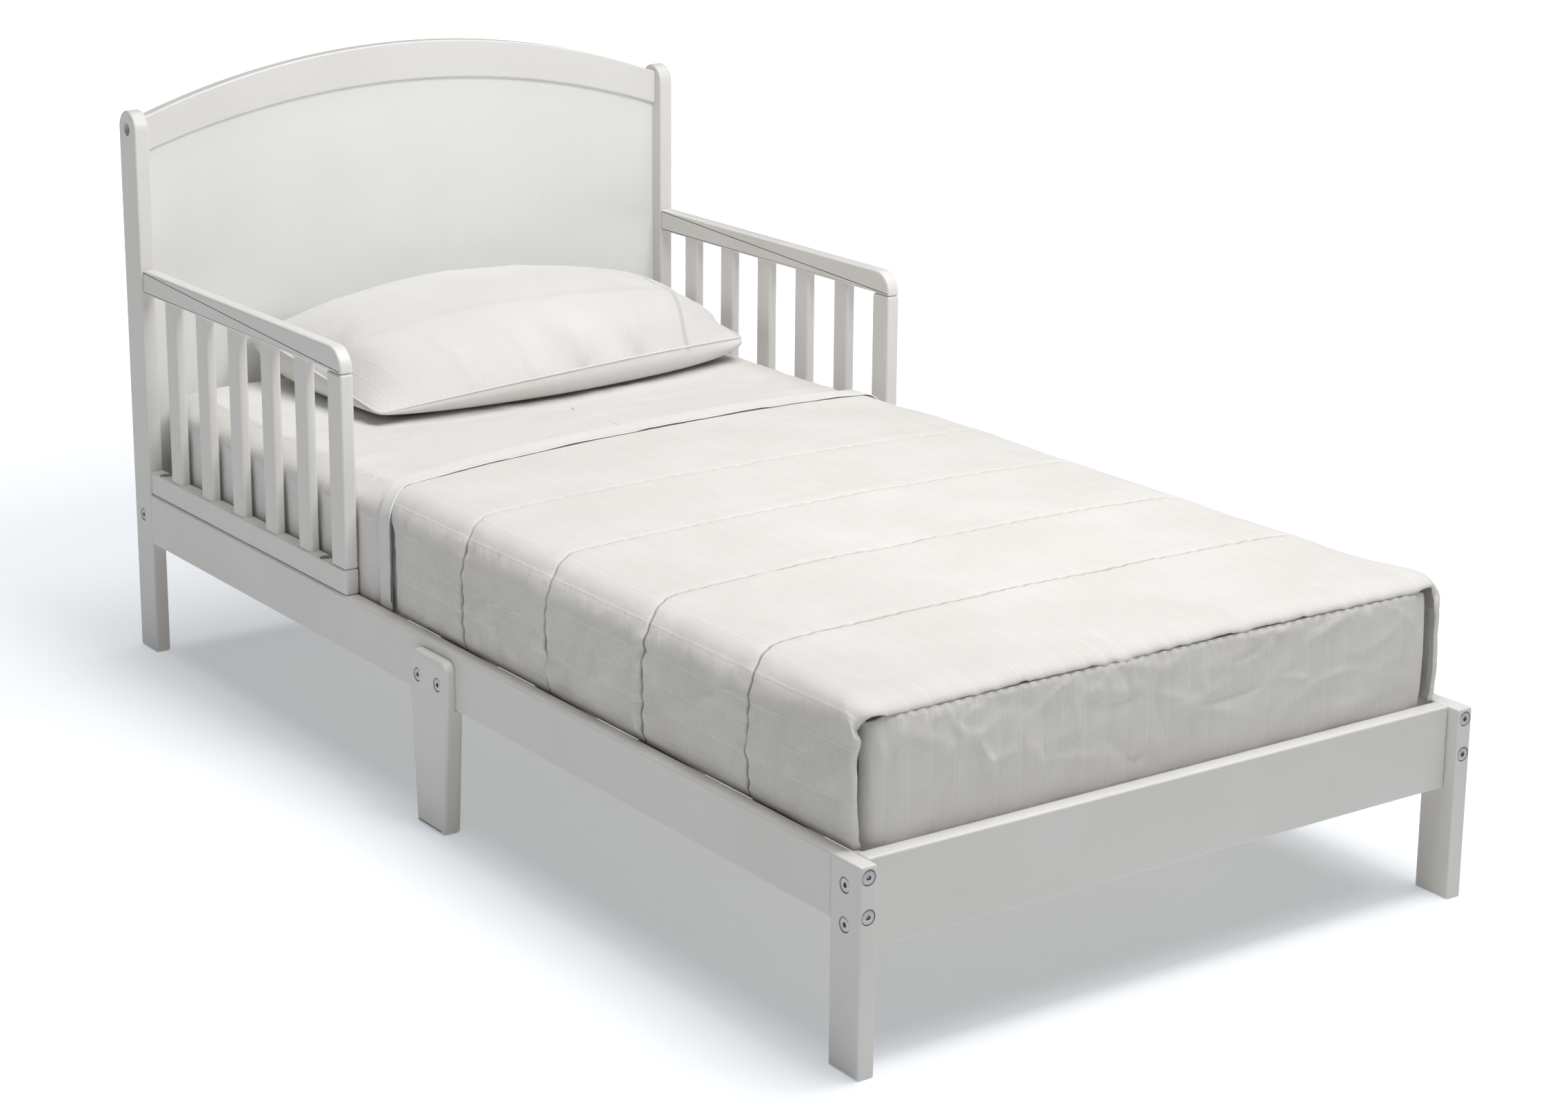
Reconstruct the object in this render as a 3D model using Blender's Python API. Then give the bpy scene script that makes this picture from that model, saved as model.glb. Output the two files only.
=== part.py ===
"""Toddler bed: a painted wooden frame with two guard rails, a slatted base and bedding.

Frame of reference: metres, +X to the bed's right, +Y towards the headboard, +Z up.
The origin lies on the floor under the middle of the bed. The frame is bolted: each rail
end takes bolts through the post into barrel nuts, so every board is an object of its own.
The bedding lifts off, so the mattress, the coverlet and the pillow hang on parent empties.
"""
import math

import bmesh
import bpy
from mathutils import Matrix, Vector

# Clearances and edges
GAP = 0.0003                 # between faces that touch on the real bed
BORE_CLEARANCE = 0.0006      # radial, around a bolt or a nut
EDGE = 0.002                 # eased edge of a board
SIDES = 12                   # facets of a bolt or a hole

# Frame
BED_LENGTH = 1.465
POST_SPAN = 0.746            # over the outer faces of the posts
BOARD = 0.018                # thickness of posts and rails
POST_DEPTH = 0.044           # along the bed
HEAD_POST_HEIGHT = 0.657
RAIL_TOP = 0.199             # side rails, foot rail and foot legs are flush here
SIDE_RAIL_HEIGHT = 0.061
FOOT_RAIL_HEIGHT = 0.085
FOOT_RAIL_SETBACK = 0.014    # behind the front of the foot legs

# Headboard
ARCH_TOP = 0.712             # top of the arched rail on the centre line
ARCH_RISE = 0.063            # of its upper edge, between the posts
ARCH_LOWER_TOP = 0.666       # lower edge on the centre line
ARCH_LOWER_RISE = 0.058
LOWER_RAIL_LOW = 0.135
LOWER_RAIL_HIGH = 0.205
PANEL_THICKNESS = 0.006
GROOVE_DEPTH = 0.008         # for the panel in the two rails
POST_GROOVE_DEPTH = 0.006

# Middle legs, halved over the side rails
MID_LEG_Y = -0.002
MID_LEG_TOP_WIDTH = 0.074
MID_LEG_FOOT_WIDTH = 0.056
MID_LEG_THICKNESS = 0.022
MID_LEG_LAP = 0.0117         # thickness that laps the rail's outer face
MID_LEG_TOP = 0.190
MID_LEG_EDGE = 0.004

# Guard rails
GUARD_THICKNESS = 0.016
GUARD_RECESS = 0.002         # behind the side rail's outer face
GUARD_END_Y = 0.198
GUARD_RAIL_HEIGHT = 0.028
GUARD_TOP = 0.4713
GUARD_POST_WIDTH = 0.032
GUARD_SLAT_WIDTH = 0.029
GUARD_SLAT_THICKNESS = 0.012
GUARD_SLATS = 5
TENON = 0.008

# Slatted base
LEDGE_WIDTH = 0.018
LEDGE_HEIGHT = 0.025
LEDGE_LENGTH = 1.240
LEDGE_TOP = 0.1777
BASE_SLATS = 7
BASE_SLAT_WIDTH = 0.090
BASE_SLAT_THICKNESS = 0.012
BASE_SLAT_PITCH = 0.190
BASE_SLAT_LENGTH = 0.708

# Bolts: six millimetre thread, flat socket heads, ten millimetre barrel nuts
SHANK_RADIUS = 0.003
HEAD_RADIUS = 0.007
HEAD_HEIGHT = 0.0028
SOCKET_RADIUS = 0.0026
SOCKET_DEPTH = 0.002
RECESS = 0.0035              # depth of a bolt head's counterbore
DEEP_RECESS = 0.009          # counterbore in the round top of a headboard post
NUT_RADIUS = 0.005
NUT_LENGTH = 0.012
NUT_INSET = 0.028            # from a rail's end to its barrel nut
FAR_NUT_INSET = 0.050        # the same at the headboard end of a side rail
INSERT_RADIUS = 0.0048       # threaded insert
INSERT_LENGTH = 0.014
BOLT_TIP = 0.006             # thread past the middle of the nut
FOOT_FRONT_BOLT_Z = (0.1881, 0.1515)
FOOT_SIDE_BOLT_Z = (0.1758, 0.1391)
HEAD_TOP_BOLT_Z = 0.635
HEAD_LOW_BOLT_Z = 0.1695
HEAD_RAIL_BOLT_Z = 0.1515
MID_LEG_BOLT_Z = 0.1638
MID_LEG_BOLT_SPACING = 0.041

# Bedding
MATTRESS_HALF_WIDTH = 0.3475
MATTRESS_FOOT_Y = -0.693
MATTRESS_HEAD_Y = 0.700
MATTRESS_THICKNESS = 0.1312
MATTRESS_CORNER = 0.030
COVERLET_HALF_WIDTH = 0.3545
COVERLET_THICKNESS = 0.008
COVERLET_SIDE_THICKNESS = 0.0065
COVERLET_HEAD_Y = 0.205
COVERLET_CORNER = 0.036
PILLOW_LOW = (-0.236, 0.358)
PILLOW_HIGH = (0.350, 0.700)
PILLOW_HEIGHT = 0.110
PILLOW_EDGE = 0.040

# Places that follow from the sizes above
HALF_SPAN = POST_SPAN / 2
INNER_X = HALF_SPAN - BOARD
HALF_LENGTH = BED_LENGTH / 2
FOOT_POST_BACK_Y = -HALF_LENGTH + POST_DEPTH
HEAD_POST_FRONT_Y = HALF_LENGTH - POST_DEPTH
HEADBOARD_Y = HALF_LENGTH - POST_DEPTH / 2
FOOT_RAIL_Y = -HALF_LENGTH + FOOT_RAIL_SETBACK + BOARD / 2
RAIL_CENTRE_X = HALF_SPAN - BOARD / 2
SIDE_RAIL_LOW = RAIL_TOP - SIDE_RAIL_HEIGHT
GUARD_X = HALF_SPAN - GUARD_RECESS - GUARD_THICKNESS / 2
GUARD_LOW_TOP = RAIL_TOP + GAP + GUARD_RAIL_HEIGHT
GUARD_TOP_LOW = GUARD_TOP - GUARD_RAIL_HEIGHT
BASE_TOP = LEDGE_TOP + GAP + BASE_SLAT_THICKNESS
MATTRESS_LOW = BASE_TOP + GAP
MATTRESS_TOP = MATTRESS_LOW + MATTRESS_THICKNESS
COVERLET_LOW = BASE_TOP + 2 * GAP
COVERLET_TOP = MATTRESS_TOP + GAP + COVERLET_THICKNESS
GUARD_GAP = (HEAD_POST_FRONT_Y - GUARD_END_Y - GUARD_POST_WIDTH - GUARD_SLATS * GUARD_SLAT_WIDTH) / (
    GUARD_SLATS + 1)
GUARD_BOLT_Y = (HEAD_POST_FRONT_Y - GUARD_GAP / 2, GUARD_END_Y + GUARD_POST_WIDTH + GUARD_GAP / 2)

SIDES_OF_BED = (("left", -1), ("right", 1))


# ---------------------------------------------------------------- materials
def finish(name, colour, roughness, metallic=0.0):
    """A plain Principled material."""
    material = bpy.data.materials.new(name)
    material.use_nodes = True
    shader = material.node_tree.nodes["Principled BSDF"]
    shader.inputs["Base Color"].default_value = (*colour, 1.0)
    shader.inputs["Roughness"].default_value = roughness
    shader.inputs["Metallic"].default_value = metallic
    return material


# ---------------------------------------------------------------- shapes
def plane_axes(axis):
    """The two directions that an outline's numbers run along, for an extrusion along axis."""
    return {"X": (Vector((0, 1, 0)), Vector((0, 0, 1)), Vector((1, 0, 0))),
            "Y": (Vector((1, 0, 0)), Vector((0, 0, 1)), Vector((0, 1, 0))),
            "Z": (Vector((1, 0, 0)), Vector((0, 1, 0)), Vector((0, 0, 1)))}[axis]


def new_object(name, mesh, material=None):
    obj = bpy.data.objects.new(name, mesh)
    bpy.context.scene.collection.objects.link(obj)
    if material:
        mesh.materials.append(material)
    return obj


def extruded(name, outline, axis, start, end, material=None):
    """A closed prism: an outline in the plane across the axis, carried from start to end."""
    across, up, along = plane_axes(axis)
    bm = bmesh.new()
    ring = [bm.verts.new(across * u + up * v + along * start) for u, v in outline]
    face = bm.faces.new(ring)
    grown = bmesh.ops.extrude_face_region(bm, geom=[face])
    moved = [item for item in grown["geom"] if isinstance(item, bmesh.types.BMVert)]
    bmesh.ops.translate(bm, verts=moved, vec=along * (end - start))
    bmesh.ops.recalc_face_normals(bm, faces=bm.faces)
    mesh = bpy.data.meshes.new(name)
    bm.to_mesh(mesh)
    bm.free()
    return new_object(name, mesh, material)


def board(name, low, high, material=None):
    """A rectangular board from its lowest to its highest corner."""
    outline = [(low[0], low[1]), (high[0], low[1]), (high[0], high[1]), (low[0], high[1])]
    return extruded(name, outline, "Z", low[2], high[2], material)


def turned(name, profile, origin, direction, material=None):
    """A solid of revolution about direction. Profile rows are radius, distance and 'hex' or 'round'."""
    bm = bmesh.new()
    turn = Vector((0, 0, 1)).rotation_difference(Vector(direction)).to_matrix().to_4x4()
    place = Matrix.Translation(origin) @ turn
    rings = []
    for radius, distance, shape in profile:
        ring = []
        for step in range(SIDES):
            angle = 2 * math.pi * step / SIDES
            on_flat = shape == "hex" and step % 2 == 1
            reach = radius * (math.cos(math.pi / 6) if on_flat else 1.0)
            ring.append(bm.verts.new(
                place @ Vector((reach * math.cos(angle), reach * math.sin(angle), distance))))
        rings.append(ring)
    for lower, upper in zip(rings, rings[1:]):
        for step in range(SIDES):
            after = (step + 1) % SIDES
            bm.faces.new((lower[step], lower[after], upper[after], upper[step]))
    bm.faces.new(list(reversed(rings[0])))
    bm.faces.new(rings[-1])
    bmesh.ops.recalc_face_normals(bm, faces=bm.faces)
    mesh = bpy.data.meshes.new(name)
    bm.to_mesh(mesh)
    bm.free()
    if material:
        mesh.shade_smooth()
        mesh.set_sharp_from_angle(angle=math.radians(40))
    return new_object(name, mesh, material)


def rod(name, radius, origin, direction, start, end, material=None):
    """A plain cylinder from start to end along direction."""
    return turned(name, [(radius, start, "round"), (radius, end, "round")], origin, direction, material)


def arc(centre, radius, start_degrees, end_degrees, steps):
    """Points on a circle, both ends included."""
    points = []
    for step in range(steps + 1):
        angle = math.radians(start_degrees + (end_degrees - start_degrees) * step / steps)
        points.append((centre[0] + radius * math.cos(angle), centre[1] + radius * math.sin(angle)))
    return points


def chord_arc(half_width, top, rise, grow=0.0, steps=24):
    """A shallow arc over the bed's centre line, left to right, grown outwards by grow."""
    radius = (half_width ** 2 + rise ** 2) / (2 * rise)
    centre_z = top - radius
    reach = math.degrees(math.asin(half_width / (radius + grow)))
    return arc((0.0, centre_z), radius + grow, 90 + reach, 90 - reach, steps)


# ---------------------------------------------------------------- modifiers
def ease_edges(obj, width=EDGE, segments=1, degrees=30):
    bevel = obj.modifiers.new("Eased edges", "BEVEL")
    bevel.width = width
    bevel.segments = segments
    bevel.limit_method = "ANGLE"
    bevel.angle_limit = math.radians(degrees)


def hide_tool(obj):
    obj.hide_render = True
    obj.display_type = "WIRE"


def joined(name, pieces):
    """Several cutters that don't touch each other, as one mesh."""
    bm = bmesh.new()
    for piece in pieces:
        bm.from_mesh(piece.data)
        bpy.data.objects.remove(piece)
    mesh = bpy.data.meshes.new(name)
    bm.to_mesh(mesh)
    bm.free()
    return new_object(name, mesh)


def cut(obj, *groups):
    """Takes each group of cutters out of obj, one Boolean to a group."""
    for number, pieces in enumerate(groups):
        cutter = joined(f"{obj.name}_cutter_{number}", pieces)
        hide_tool(cutter)
        boolean = obj.modifiers.new(f"Cut {number}", "BOOLEAN")
        boolean.operation = "DIFFERENCE"
        boolean.object = cutter


def add(obj, piece):
    """Joins piece to obj with a Boolean union."""
    hide_tool(piece)
    boolean = obj.modifiers.new("Join", "BOOLEAN")
    boolean.operation = "UNION"
    boolean.object = piece


# ---------------------------------------------------------------- fasteners
def bolt(name, head_face, direction, recess, length, material, nut_axis=None, insert_at=None):
    """A flat-headed socket bolt whose counterbore opens at head_face and which runs along direction.

    With nut_axis it carries its barrel nut, across it and short of its tip. With insert_at it
    carries its threaded insert, which starts at that distance from head_face.
    """
    under_head = recess - GAP
    top = under_head - HEAD_HEIGHT
    profile = [(SOCKET_RADIUS, top + SOCKET_DEPTH, "hex"), (SOCKET_RADIUS, top, "hex"),
               (HEAD_RADIUS, top, "round"), (HEAD_RADIUS, under_head, "round"),
               (SHANK_RADIUS, under_head, "round")]
    if insert_at is not None:
        start = insert_at + GAP
        profile += [(SHANK_RADIUS, start, "round"), (INSERT_RADIUS, start, "round"),
                    (INSERT_RADIUS, start + INSERT_LENGTH, "round")]
    else:
        profile += [(SHANK_RADIUS, length, "round")]
    obj = turned(name, profile, head_face, direction, material)
    if nut_axis:
        middle = Vector(head_face) + Vector(direction) * (length - BOLT_TIP)
        add(obj, rod(name + "_nut", NUT_RADIUS, middle, nut_axis, -NUT_LENGTH / 2, NUT_LENGTH / 2))
    return obj


def bolt_hole(head_face, direction, recess, depth):
    """Cutter for a counterbored hole that opens at head_face."""
    shank = SHANK_RADIUS + BORE_CLEARANCE
    head = HEAD_RADIUS + BORE_CLEARANCE
    profile = [(head, -0.002, "round"), (head, recess, "round"), (shank, recess, "round"), (shank, depth, "round")]
    return turned("hole", profile, head_face, direction)


def plain_hole(radius, mouth, direction, depth):
    """Cutter for a straight hole that opens at mouth."""
    return rod("hole", radius + BORE_CLEARANCE, mouth, direction, -0.002, depth)


def nut_hole(mouth, direction):
    """Cutter for a barrel nut's hole, centred in a board of the usual thickness."""
    return plain_hole(NUT_RADIUS, mouth, direction, BOARD / 2 + NUT_LENGTH / 2 + GAP)


# ---------------------------------------------------------------- headboard
def panel_outline(grow):
    """The panel in its grooves, grown by the clearance that the grooves leave."""
    half = INNER_X + POST_GROOVE_DEPTH - GAP + grow
    low = LOWER_RAIL_HIGH - GROOVE_DEPTH + GAP - grow
    top = chord_arc(INNER_X, ARCH_LOWER_TOP, ARCH_LOWER_RISE, GROOVE_DEPTH - GAP + grow)
    end_z = top[0][1]
    return [(-half, low), (-half, end_z)] + top[1:-1] + [(half, end_z), (half, low)]


def panel_groove():
    half = PANEL_THICKNESS / 2 + GAP
    return extruded("groove", panel_outline(GAP), "Y", HEADBOARD_Y - half, HEADBOARD_Y + half)


def headboard_post(side, sign, paint):
    """A post with a half-round top, which is also the leg at the headboard end."""
    radius = POST_DEPTH / 2
    round_top = arc((HEADBOARD_Y, HEAD_POST_HEIGHT - radius), radius, 0, 180, 12)
    outline = [(HEAD_POST_FRONT_Y, 0.0), (HALF_LENGTH, 0.0)] + round_top
    post = extruded(f"headboard_post_{side}", outline, "X", sign * HALF_SPAN, sign * INNER_X, paint)
    ease_edges(post)
    outer = sign * HALF_SPAN
    through = BOARD + 0.002
    cut(post,
        [bolt_hole((outer, HEADBOARD_Y, HEAD_TOP_BOLT_Z), (-sign, 0, 0), DEEP_RECESS, through),
         bolt_hole((outer, HEADBOARD_Y, HEAD_LOW_BOLT_Z), (-sign, 0, 0), RECESS, through),
         bolt_hole((sign * RAIL_CENTRE_X, HALF_LENGTH, HEAD_RAIL_BOLT_Z), (0, -1, 0), RECESS, POST_DEPTH + 0.002)],
        [panel_groove()])


def headboard_rails(paint):
    """The arched rail over the panel and the straight rail under it."""
    half = INNER_X - GAP
    front = HEADBOARD_Y - BOARD / 2
    back = HEADBOARD_Y + BOARD / 2
    upper = chord_arc(half, ARCH_TOP, ARCH_RISE)
    lower = chord_arc(half, ARCH_LOWER_TOP, ARCH_LOWER_RISE)
    arch = extruded("headboard_top_rail", upper + lower[::-1], "Y", front, back, paint)
    low_rail = board("headboard_lower_rail", (-half, front, LOWER_RAIL_LOW), (half, back, LOWER_RAIL_HIGH), paint)
    for rail, height in ((arch, HEAD_TOP_BOLT_Z), (low_rail, HEAD_LOW_BOLT_Z)):
        ease_edges(rail)
        bores = []
        nuts = []
        for _, sign in SIDES_OF_BED:
            bores.append(plain_hole(
                SHANK_RADIUS, (sign * INNER_X, HEADBOARD_Y, height), (-sign, 0, 0), NUT_INSET + BOLT_TIP + 0.002))
            nuts.append(nut_hole((sign * (INNER_X - NUT_INSET), back, height), (0, -1, 0)))
        cut(rail, bores, nuts, [panel_groove()])


def headboard_panel(paint):
    half = PANEL_THICKNESS / 2
    extruded("headboard_panel", panel_outline(0.0), "Y", HEADBOARD_Y - half, HEADBOARD_Y + half, paint)


# ---------------------------------------------------------------- side rails and foot end
def side_rail(side, sign, paint):
    inner = sign * INNER_X
    outer = sign * HALF_SPAN
    low = (min(inner, outer), FOOT_POST_BACK_Y + GAP, SIDE_RAIL_LOW)
    high = (max(inner, outer), HEAD_POST_FRONT_Y - GAP, RAIL_TOP)
    rail = board(f"side_rail_{side}", low, high, paint)
    ease_edges(rail)
    centre = sign * RAIL_CENTRE_X
    bores = [plain_hole(SHANK_RADIUS, (centre, FOOT_POST_BACK_Y, height), (0, 1, 0), NUT_INSET + BOLT_TIP + 0.002)
             for height in FOOT_FRONT_BOLT_Z]
    bores.append(plain_hole(
        SHANK_RADIUS, (centre, HEAD_POST_FRONT_Y, HEAD_RAIL_BOLT_Z), (0, -1, 0), FAR_NUT_INSET + BOLT_TIP + 0.002))
    bores += [plain_hole(INSERT_RADIUS, (sign * GUARD_X, y, RAIL_TOP), (0, 0, -1), INSERT_LENGTH + 2 * GAP)
              for y in GUARD_BOLT_Y]
    bores += [plain_hole(INSERT_RADIUS, (outer, y, MID_LEG_BOLT_Z), (-sign, 0, 0), INSERT_LENGTH + 2 * GAP)
              for y in mid_leg_bolt_places()]
    nuts = [nut_hole((inner, FOOT_POST_BACK_Y + NUT_INSET, height), (sign, 0, 0)) for height in FOOT_FRONT_BOLT_Z]
    nuts.append(nut_hole((inner, HEAD_POST_FRONT_Y - FAR_NUT_INSET, HEAD_RAIL_BOLT_Z), (sign, 0, 0)))
    cut(rail, bores, nuts)


def foot_leg(side, sign, paint):
    inner = sign * INNER_X
    outer = sign * HALF_SPAN
    low = (min(inner, outer), -HALF_LENGTH, 0.0)
    high = (max(inner, outer), FOOT_POST_BACK_Y, RAIL_TOP)
    leg = board(f"foot_leg_{side}", low, high, paint)
    ease_edges(leg)
    front = [bolt_hole((sign * RAIL_CENTRE_X, -HALF_LENGTH, height), (0, 1, 0), RECESS, POST_DEPTH + 0.002)
             for height in FOOT_FRONT_BOLT_Z]
    outside = [bolt_hole((outer, FOOT_RAIL_Y, height), (-sign, 0, 0), RECESS, BOARD + 0.002)
               for height in FOOT_SIDE_BOLT_Z]
    cut(leg, front, outside)


def foot_rail(paint):
    half = INNER_X - GAP
    back = FOOT_RAIL_Y + BOARD / 2
    rail = board("foot_rail", (-half, FOOT_RAIL_Y - BOARD / 2, RAIL_TOP - FOOT_RAIL_HEIGHT),
                 (half, back, RAIL_TOP), paint)
    ease_edges(rail)
    bores = []
    nuts = []
    for _, sign in SIDES_OF_BED:
        for height in FOOT_SIDE_BOLT_Z:
            bores.append(plain_hole(
                SHANK_RADIUS, (sign * INNER_X, FOOT_RAIL_Y, height), (-sign, 0, 0), NUT_INSET + BOLT_TIP + 0.002))
            nuts.append(nut_hole((sign * (INNER_X - NUT_INSET), back, height), (0, -1, 0)))
    cut(rail, bores, nuts)


# ---------------------------------------------------------------- middle legs
def mid_leg_bolt_places():
    return (MID_LEG_Y - MID_LEG_BOLT_SPACING / 2, MID_LEG_Y + MID_LEG_BOLT_SPACING / 2)


def mid_leg(side, sign, paint):
    """A tapered leg, halved so that its upper part laps the side rail's outer face."""
    corner = 0.010
    top = MID_LEG_TOP_WIDTH / 2
    foot = MID_LEG_FOOT_WIDTH / 2
    outline = [(MID_LEG_Y - foot, 0.0), (MID_LEG_Y + foot, 0.0), (MID_LEG_Y + top, SIDE_RAIL_LOW)]
    outline += arc((MID_LEG_Y + top - corner, MID_LEG_TOP - corner), corner, 0, 90, 4)
    outline += arc((MID_LEG_Y - top + corner, MID_LEG_TOP - corner), corner, 90, 180, 4)
    outline.append((MID_LEG_Y - top, SIDE_RAIL_LOW))
    outer = sign * (HALF_SPAN + GAP + MID_LEG_LAP)
    leg = extruded(f"mid_leg_{side}", outline, "X", outer, outer - sign * MID_LEG_THICKNESS, paint)
    ease_edges(leg, MID_LEG_EDGE, 2, 40)
    notch_outer = sign * (HALF_SPAN + GAP)
    notch_inner = sign * (INNER_X - 0.010)
    notch = board("notch", (min(notch_outer, notch_inner), MID_LEG_Y - 0.1, SIDE_RAIL_LOW - GAP),
                  (max(notch_outer, notch_inner), MID_LEG_Y + 0.1, RAIL_TOP + 0.05))
    bores = [bolt_hole((outer, y, MID_LEG_BOLT_Z), (-sign, 0, 0), RECESS, MID_LEG_THICKNESS)
             for y in mid_leg_bolt_places()]
    cut(leg, [notch], bores)


# ---------------------------------------------------------------- guard rails
def guard_slat_places():
    """Middle of each slat along the bed, from the headboard."""
    first = HEAD_POST_FRONT_Y - GUARD_GAP - GUARD_SLAT_WIDTH / 2
    return [first - number * (GUARD_SLAT_WIDTH + GUARD_GAP) for number in range(GUARD_SLATS)]


def mortises(sign, low, high):
    half_x = GUARD_SLAT_THICKNESS / 2 + GAP
    half_y = GUARD_SLAT_WIDTH / 2 + GAP
    centre = sign * GUARD_X
    return [board("mortise", (centre - half_x, y - half_y, low), (centre + half_x, y + half_y, high))
            for y in guard_slat_places()]


def guard(side, sign, paint):
    """Two rails, five slats between them in mortises, and a post at the free end."""
    centre = sign * GUARD_X
    low_x = centre - GUARD_THICKNESS / 2
    high_x = centre + GUARD_THICKNESS / 2
    head_y = HEAD_POST_FRONT_Y - GAP
    low_rail = board(f"guard_lower_rail_{side}", (low_x, GUARD_END_Y, RAIL_TOP + GAP),
                     (high_x, head_y, GUARD_LOW_TOP), paint)
    ease_edges(low_rail)
    holes = [bolt_hole((centre, y, GUARD_LOW_TOP), (0, 0, -1), RECESS, GUARD_RAIL_HEIGHT + 0.002)
             for y in GUARD_BOLT_Y]
    cut(low_rail, mortises(sign, GUARD_LOW_TOP - TENON, GUARD_LOW_TOP + 0.01) + holes)

    radius = GUARD_RAIL_HEIGHT - EDGE
    outline = [(GUARD_END_Y, GUARD_TOP_LOW), (head_y, GUARD_TOP_LOW), (head_y, GUARD_TOP)]
    outline += arc((GUARD_END_Y + radius, GUARD_TOP - radius), radius, 90, 180, 6)
    top_rail = extruded(f"guard_top_rail_{side}", outline, "X", low_x, high_x, paint)
    ease_edges(top_rail)
    cut(top_rail, mortises(sign, GUARD_TOP_LOW - 0.01, GUARD_TOP_LOW + TENON))

    end_post = board(f"guard_end_post_{side}", (low_x, GUARD_END_Y, GUARD_LOW_TOP + GAP),
                     (high_x, GUARD_END_Y + GUARD_POST_WIDTH, GUARD_TOP_LOW - GAP), paint)
    ease_edges(end_post)

    half_x = GUARD_SLAT_THICKNESS / 2
    half_y = GUARD_SLAT_WIDTH / 2
    for number, y in enumerate(guard_slat_places(), 1):
        slat = board(f"guard_slat_{side}_{number}", (centre - half_x, y - half_y, GUARD_LOW_TOP - TENON + GAP),
                     (centre + half_x, y + half_y, GUARD_TOP_LOW + TENON - GAP), paint)
        ease_edges(slat)


# ---------------------------------------------------------------- slatted base
def slatted_base(pine):
    """Two ledges screwed inside the side rails, and the slats that lie on them."""
    half = LEDGE_LENGTH / 2
    for side, sign in SIDES_OF_BED:
        outer = sign * (INNER_X - GAP)
        inner = outer - sign * LEDGE_WIDTH
        ledge = board(f"slat_ledge_{side}", (min(inner, outer), -half, LEDGE_TOP - LEDGE_HEIGHT),
                      (max(inner, outer), half, LEDGE_TOP), pine)
        ease_edges(ledge)
    for number in range(BASE_SLATS):
        y = (number - (BASE_SLATS - 1) / 2) * BASE_SLAT_PITCH
        slat = board(f"base_slat_{number + 1}",
                     (-BASE_SLAT_LENGTH / 2, y - BASE_SLAT_WIDTH / 2, LEDGE_TOP + GAP),
                     (BASE_SLAT_LENGTH / 2, y + BASE_SLAT_WIDTH / 2, BASE_TOP), pine)
        ease_edges(slat)


# ---------------------------------------------------------------- bolts
def bolts(steel):
    """Every bolt of the frame, joined to the barrel nut or threaded insert that it is screwed into."""
    side_reach = BOARD + NUT_INSET + BOLT_TIP
    front_reach = POST_DEPTH + NUT_INSET + BOLT_TIP
    rows = (("upper", 0), ("lower", 1))
    for side, sign in SIDES_OF_BED:
        outer = sign * HALF_SPAN
        inward = (-sign, 0, 0)
        for row, number in rows:
            bolt(f"foot_front_bolt_{side}_{row}", (sign * RAIL_CENTRE_X, -HALF_LENGTH, FOOT_FRONT_BOLT_Z[number]),
                 (0, 1, 0), RECESS, front_reach, steel, nut_axis=(1, 0, 0))
            bolt(f"foot_side_bolt_{side}_{row}", (outer, FOOT_RAIL_Y, FOOT_SIDE_BOLT_Z[number]),
                 inward, RECESS, side_reach, steel, nut_axis=(0, 1, 0))
        for row, height, recess in (("upper", HEAD_TOP_BOLT_Z, DEEP_RECESS), ("lower", HEAD_LOW_BOLT_Z, RECESS)):
            bolt(f"headboard_bolt_{side}_{row}", (outer, HEADBOARD_Y, height),
                 inward, recess, side_reach, steel, nut_axis=(0, 1, 0))
        leg_face = sign * (HALF_SPAN + GAP + MID_LEG_LAP)
        for place, y in zip(("foot", "head"), mid_leg_bolt_places()):
            bolt(f"mid_leg_bolt_{side}_{place}", (leg_face, y, MID_LEG_BOLT_Z),
                 inward, RECESS, None, steel, insert_at=MID_LEG_LAP + GAP)
        for place, y in zip(("head", "end"), GUARD_BOLT_Y):
            bolt(f"guard_bolt_{side}_{place}", (sign * GUARD_X, y, GUARD_LOW_TOP),
                 (0, 0, -1), RECESS, None, steel, insert_at=GUARD_RAIL_HEIGHT + GAP)


# ---------------------------------------------------------------- bedding
def lift_point(name, height, parent=None):
    """An empty on the line that a piece of bedding is lifted along."""
    empty = bpy.data.objects.new(name, None)
    bpy.context.scene.collection.objects.link(empty)
    empty.parent = parent
    empty.location = (0.0, 0.0, height - (parent.location.z if parent else 0.0))
    return empty


def hang_on(obj, empty):
    """Parents obj to the empty without moving it."""
    offset = Vector((0.0, 0.0, 0.0))
    link = empty
    while link:
        offset += link.location
        link = link.parent
    obj.data.transform(Matrix.Translation(-offset))
    obj.parent = empty


def rounded_plan(low, high, radius, corners, steps=3):
    """A rectangle in plan whose named corners are rounded, counter-clockwise from the foot left one."""
    places = {"foot_left": (low[0], low[1], 180), "foot_right": (high[0], low[1], 270),
              "head_right": (high[0], high[1], 0), "head_left": (low[0], high[1], 90)}
    outline = []
    for corner, (x, y, start) in places.items():
        if corner in corners:
            centre_x = x + radius if x == low[0] else x - radius
            centre_y = y + radius if y == low[1] else y - radius
            outline += arc((centre_x, centre_y), radius, start, start + 90, steps)
        else:
            outline.append((x, y))
    return outline


def mattress(cotton):
    """The mattress in its fitted sheet."""
    outline = rounded_plan((-MATTRESS_HALF_WIDTH, MATTRESS_FOOT_Y), (MATTRESS_HALF_WIDTH, MATTRESS_HEAD_Y),
                           MATTRESS_CORNER, ("foot_left", "foot_right", "head_left", "head_right"))
    body = extruded("mattress", outline, "Z", MATTRESS_LOW, MATTRESS_TOP, cotton)
    ease_edges(body, 0.006, 1, 60)
    lift = lift_point("mattress_lift_point", MATTRESS_LOW)
    hang_on(body, lift)
    return lift


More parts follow.
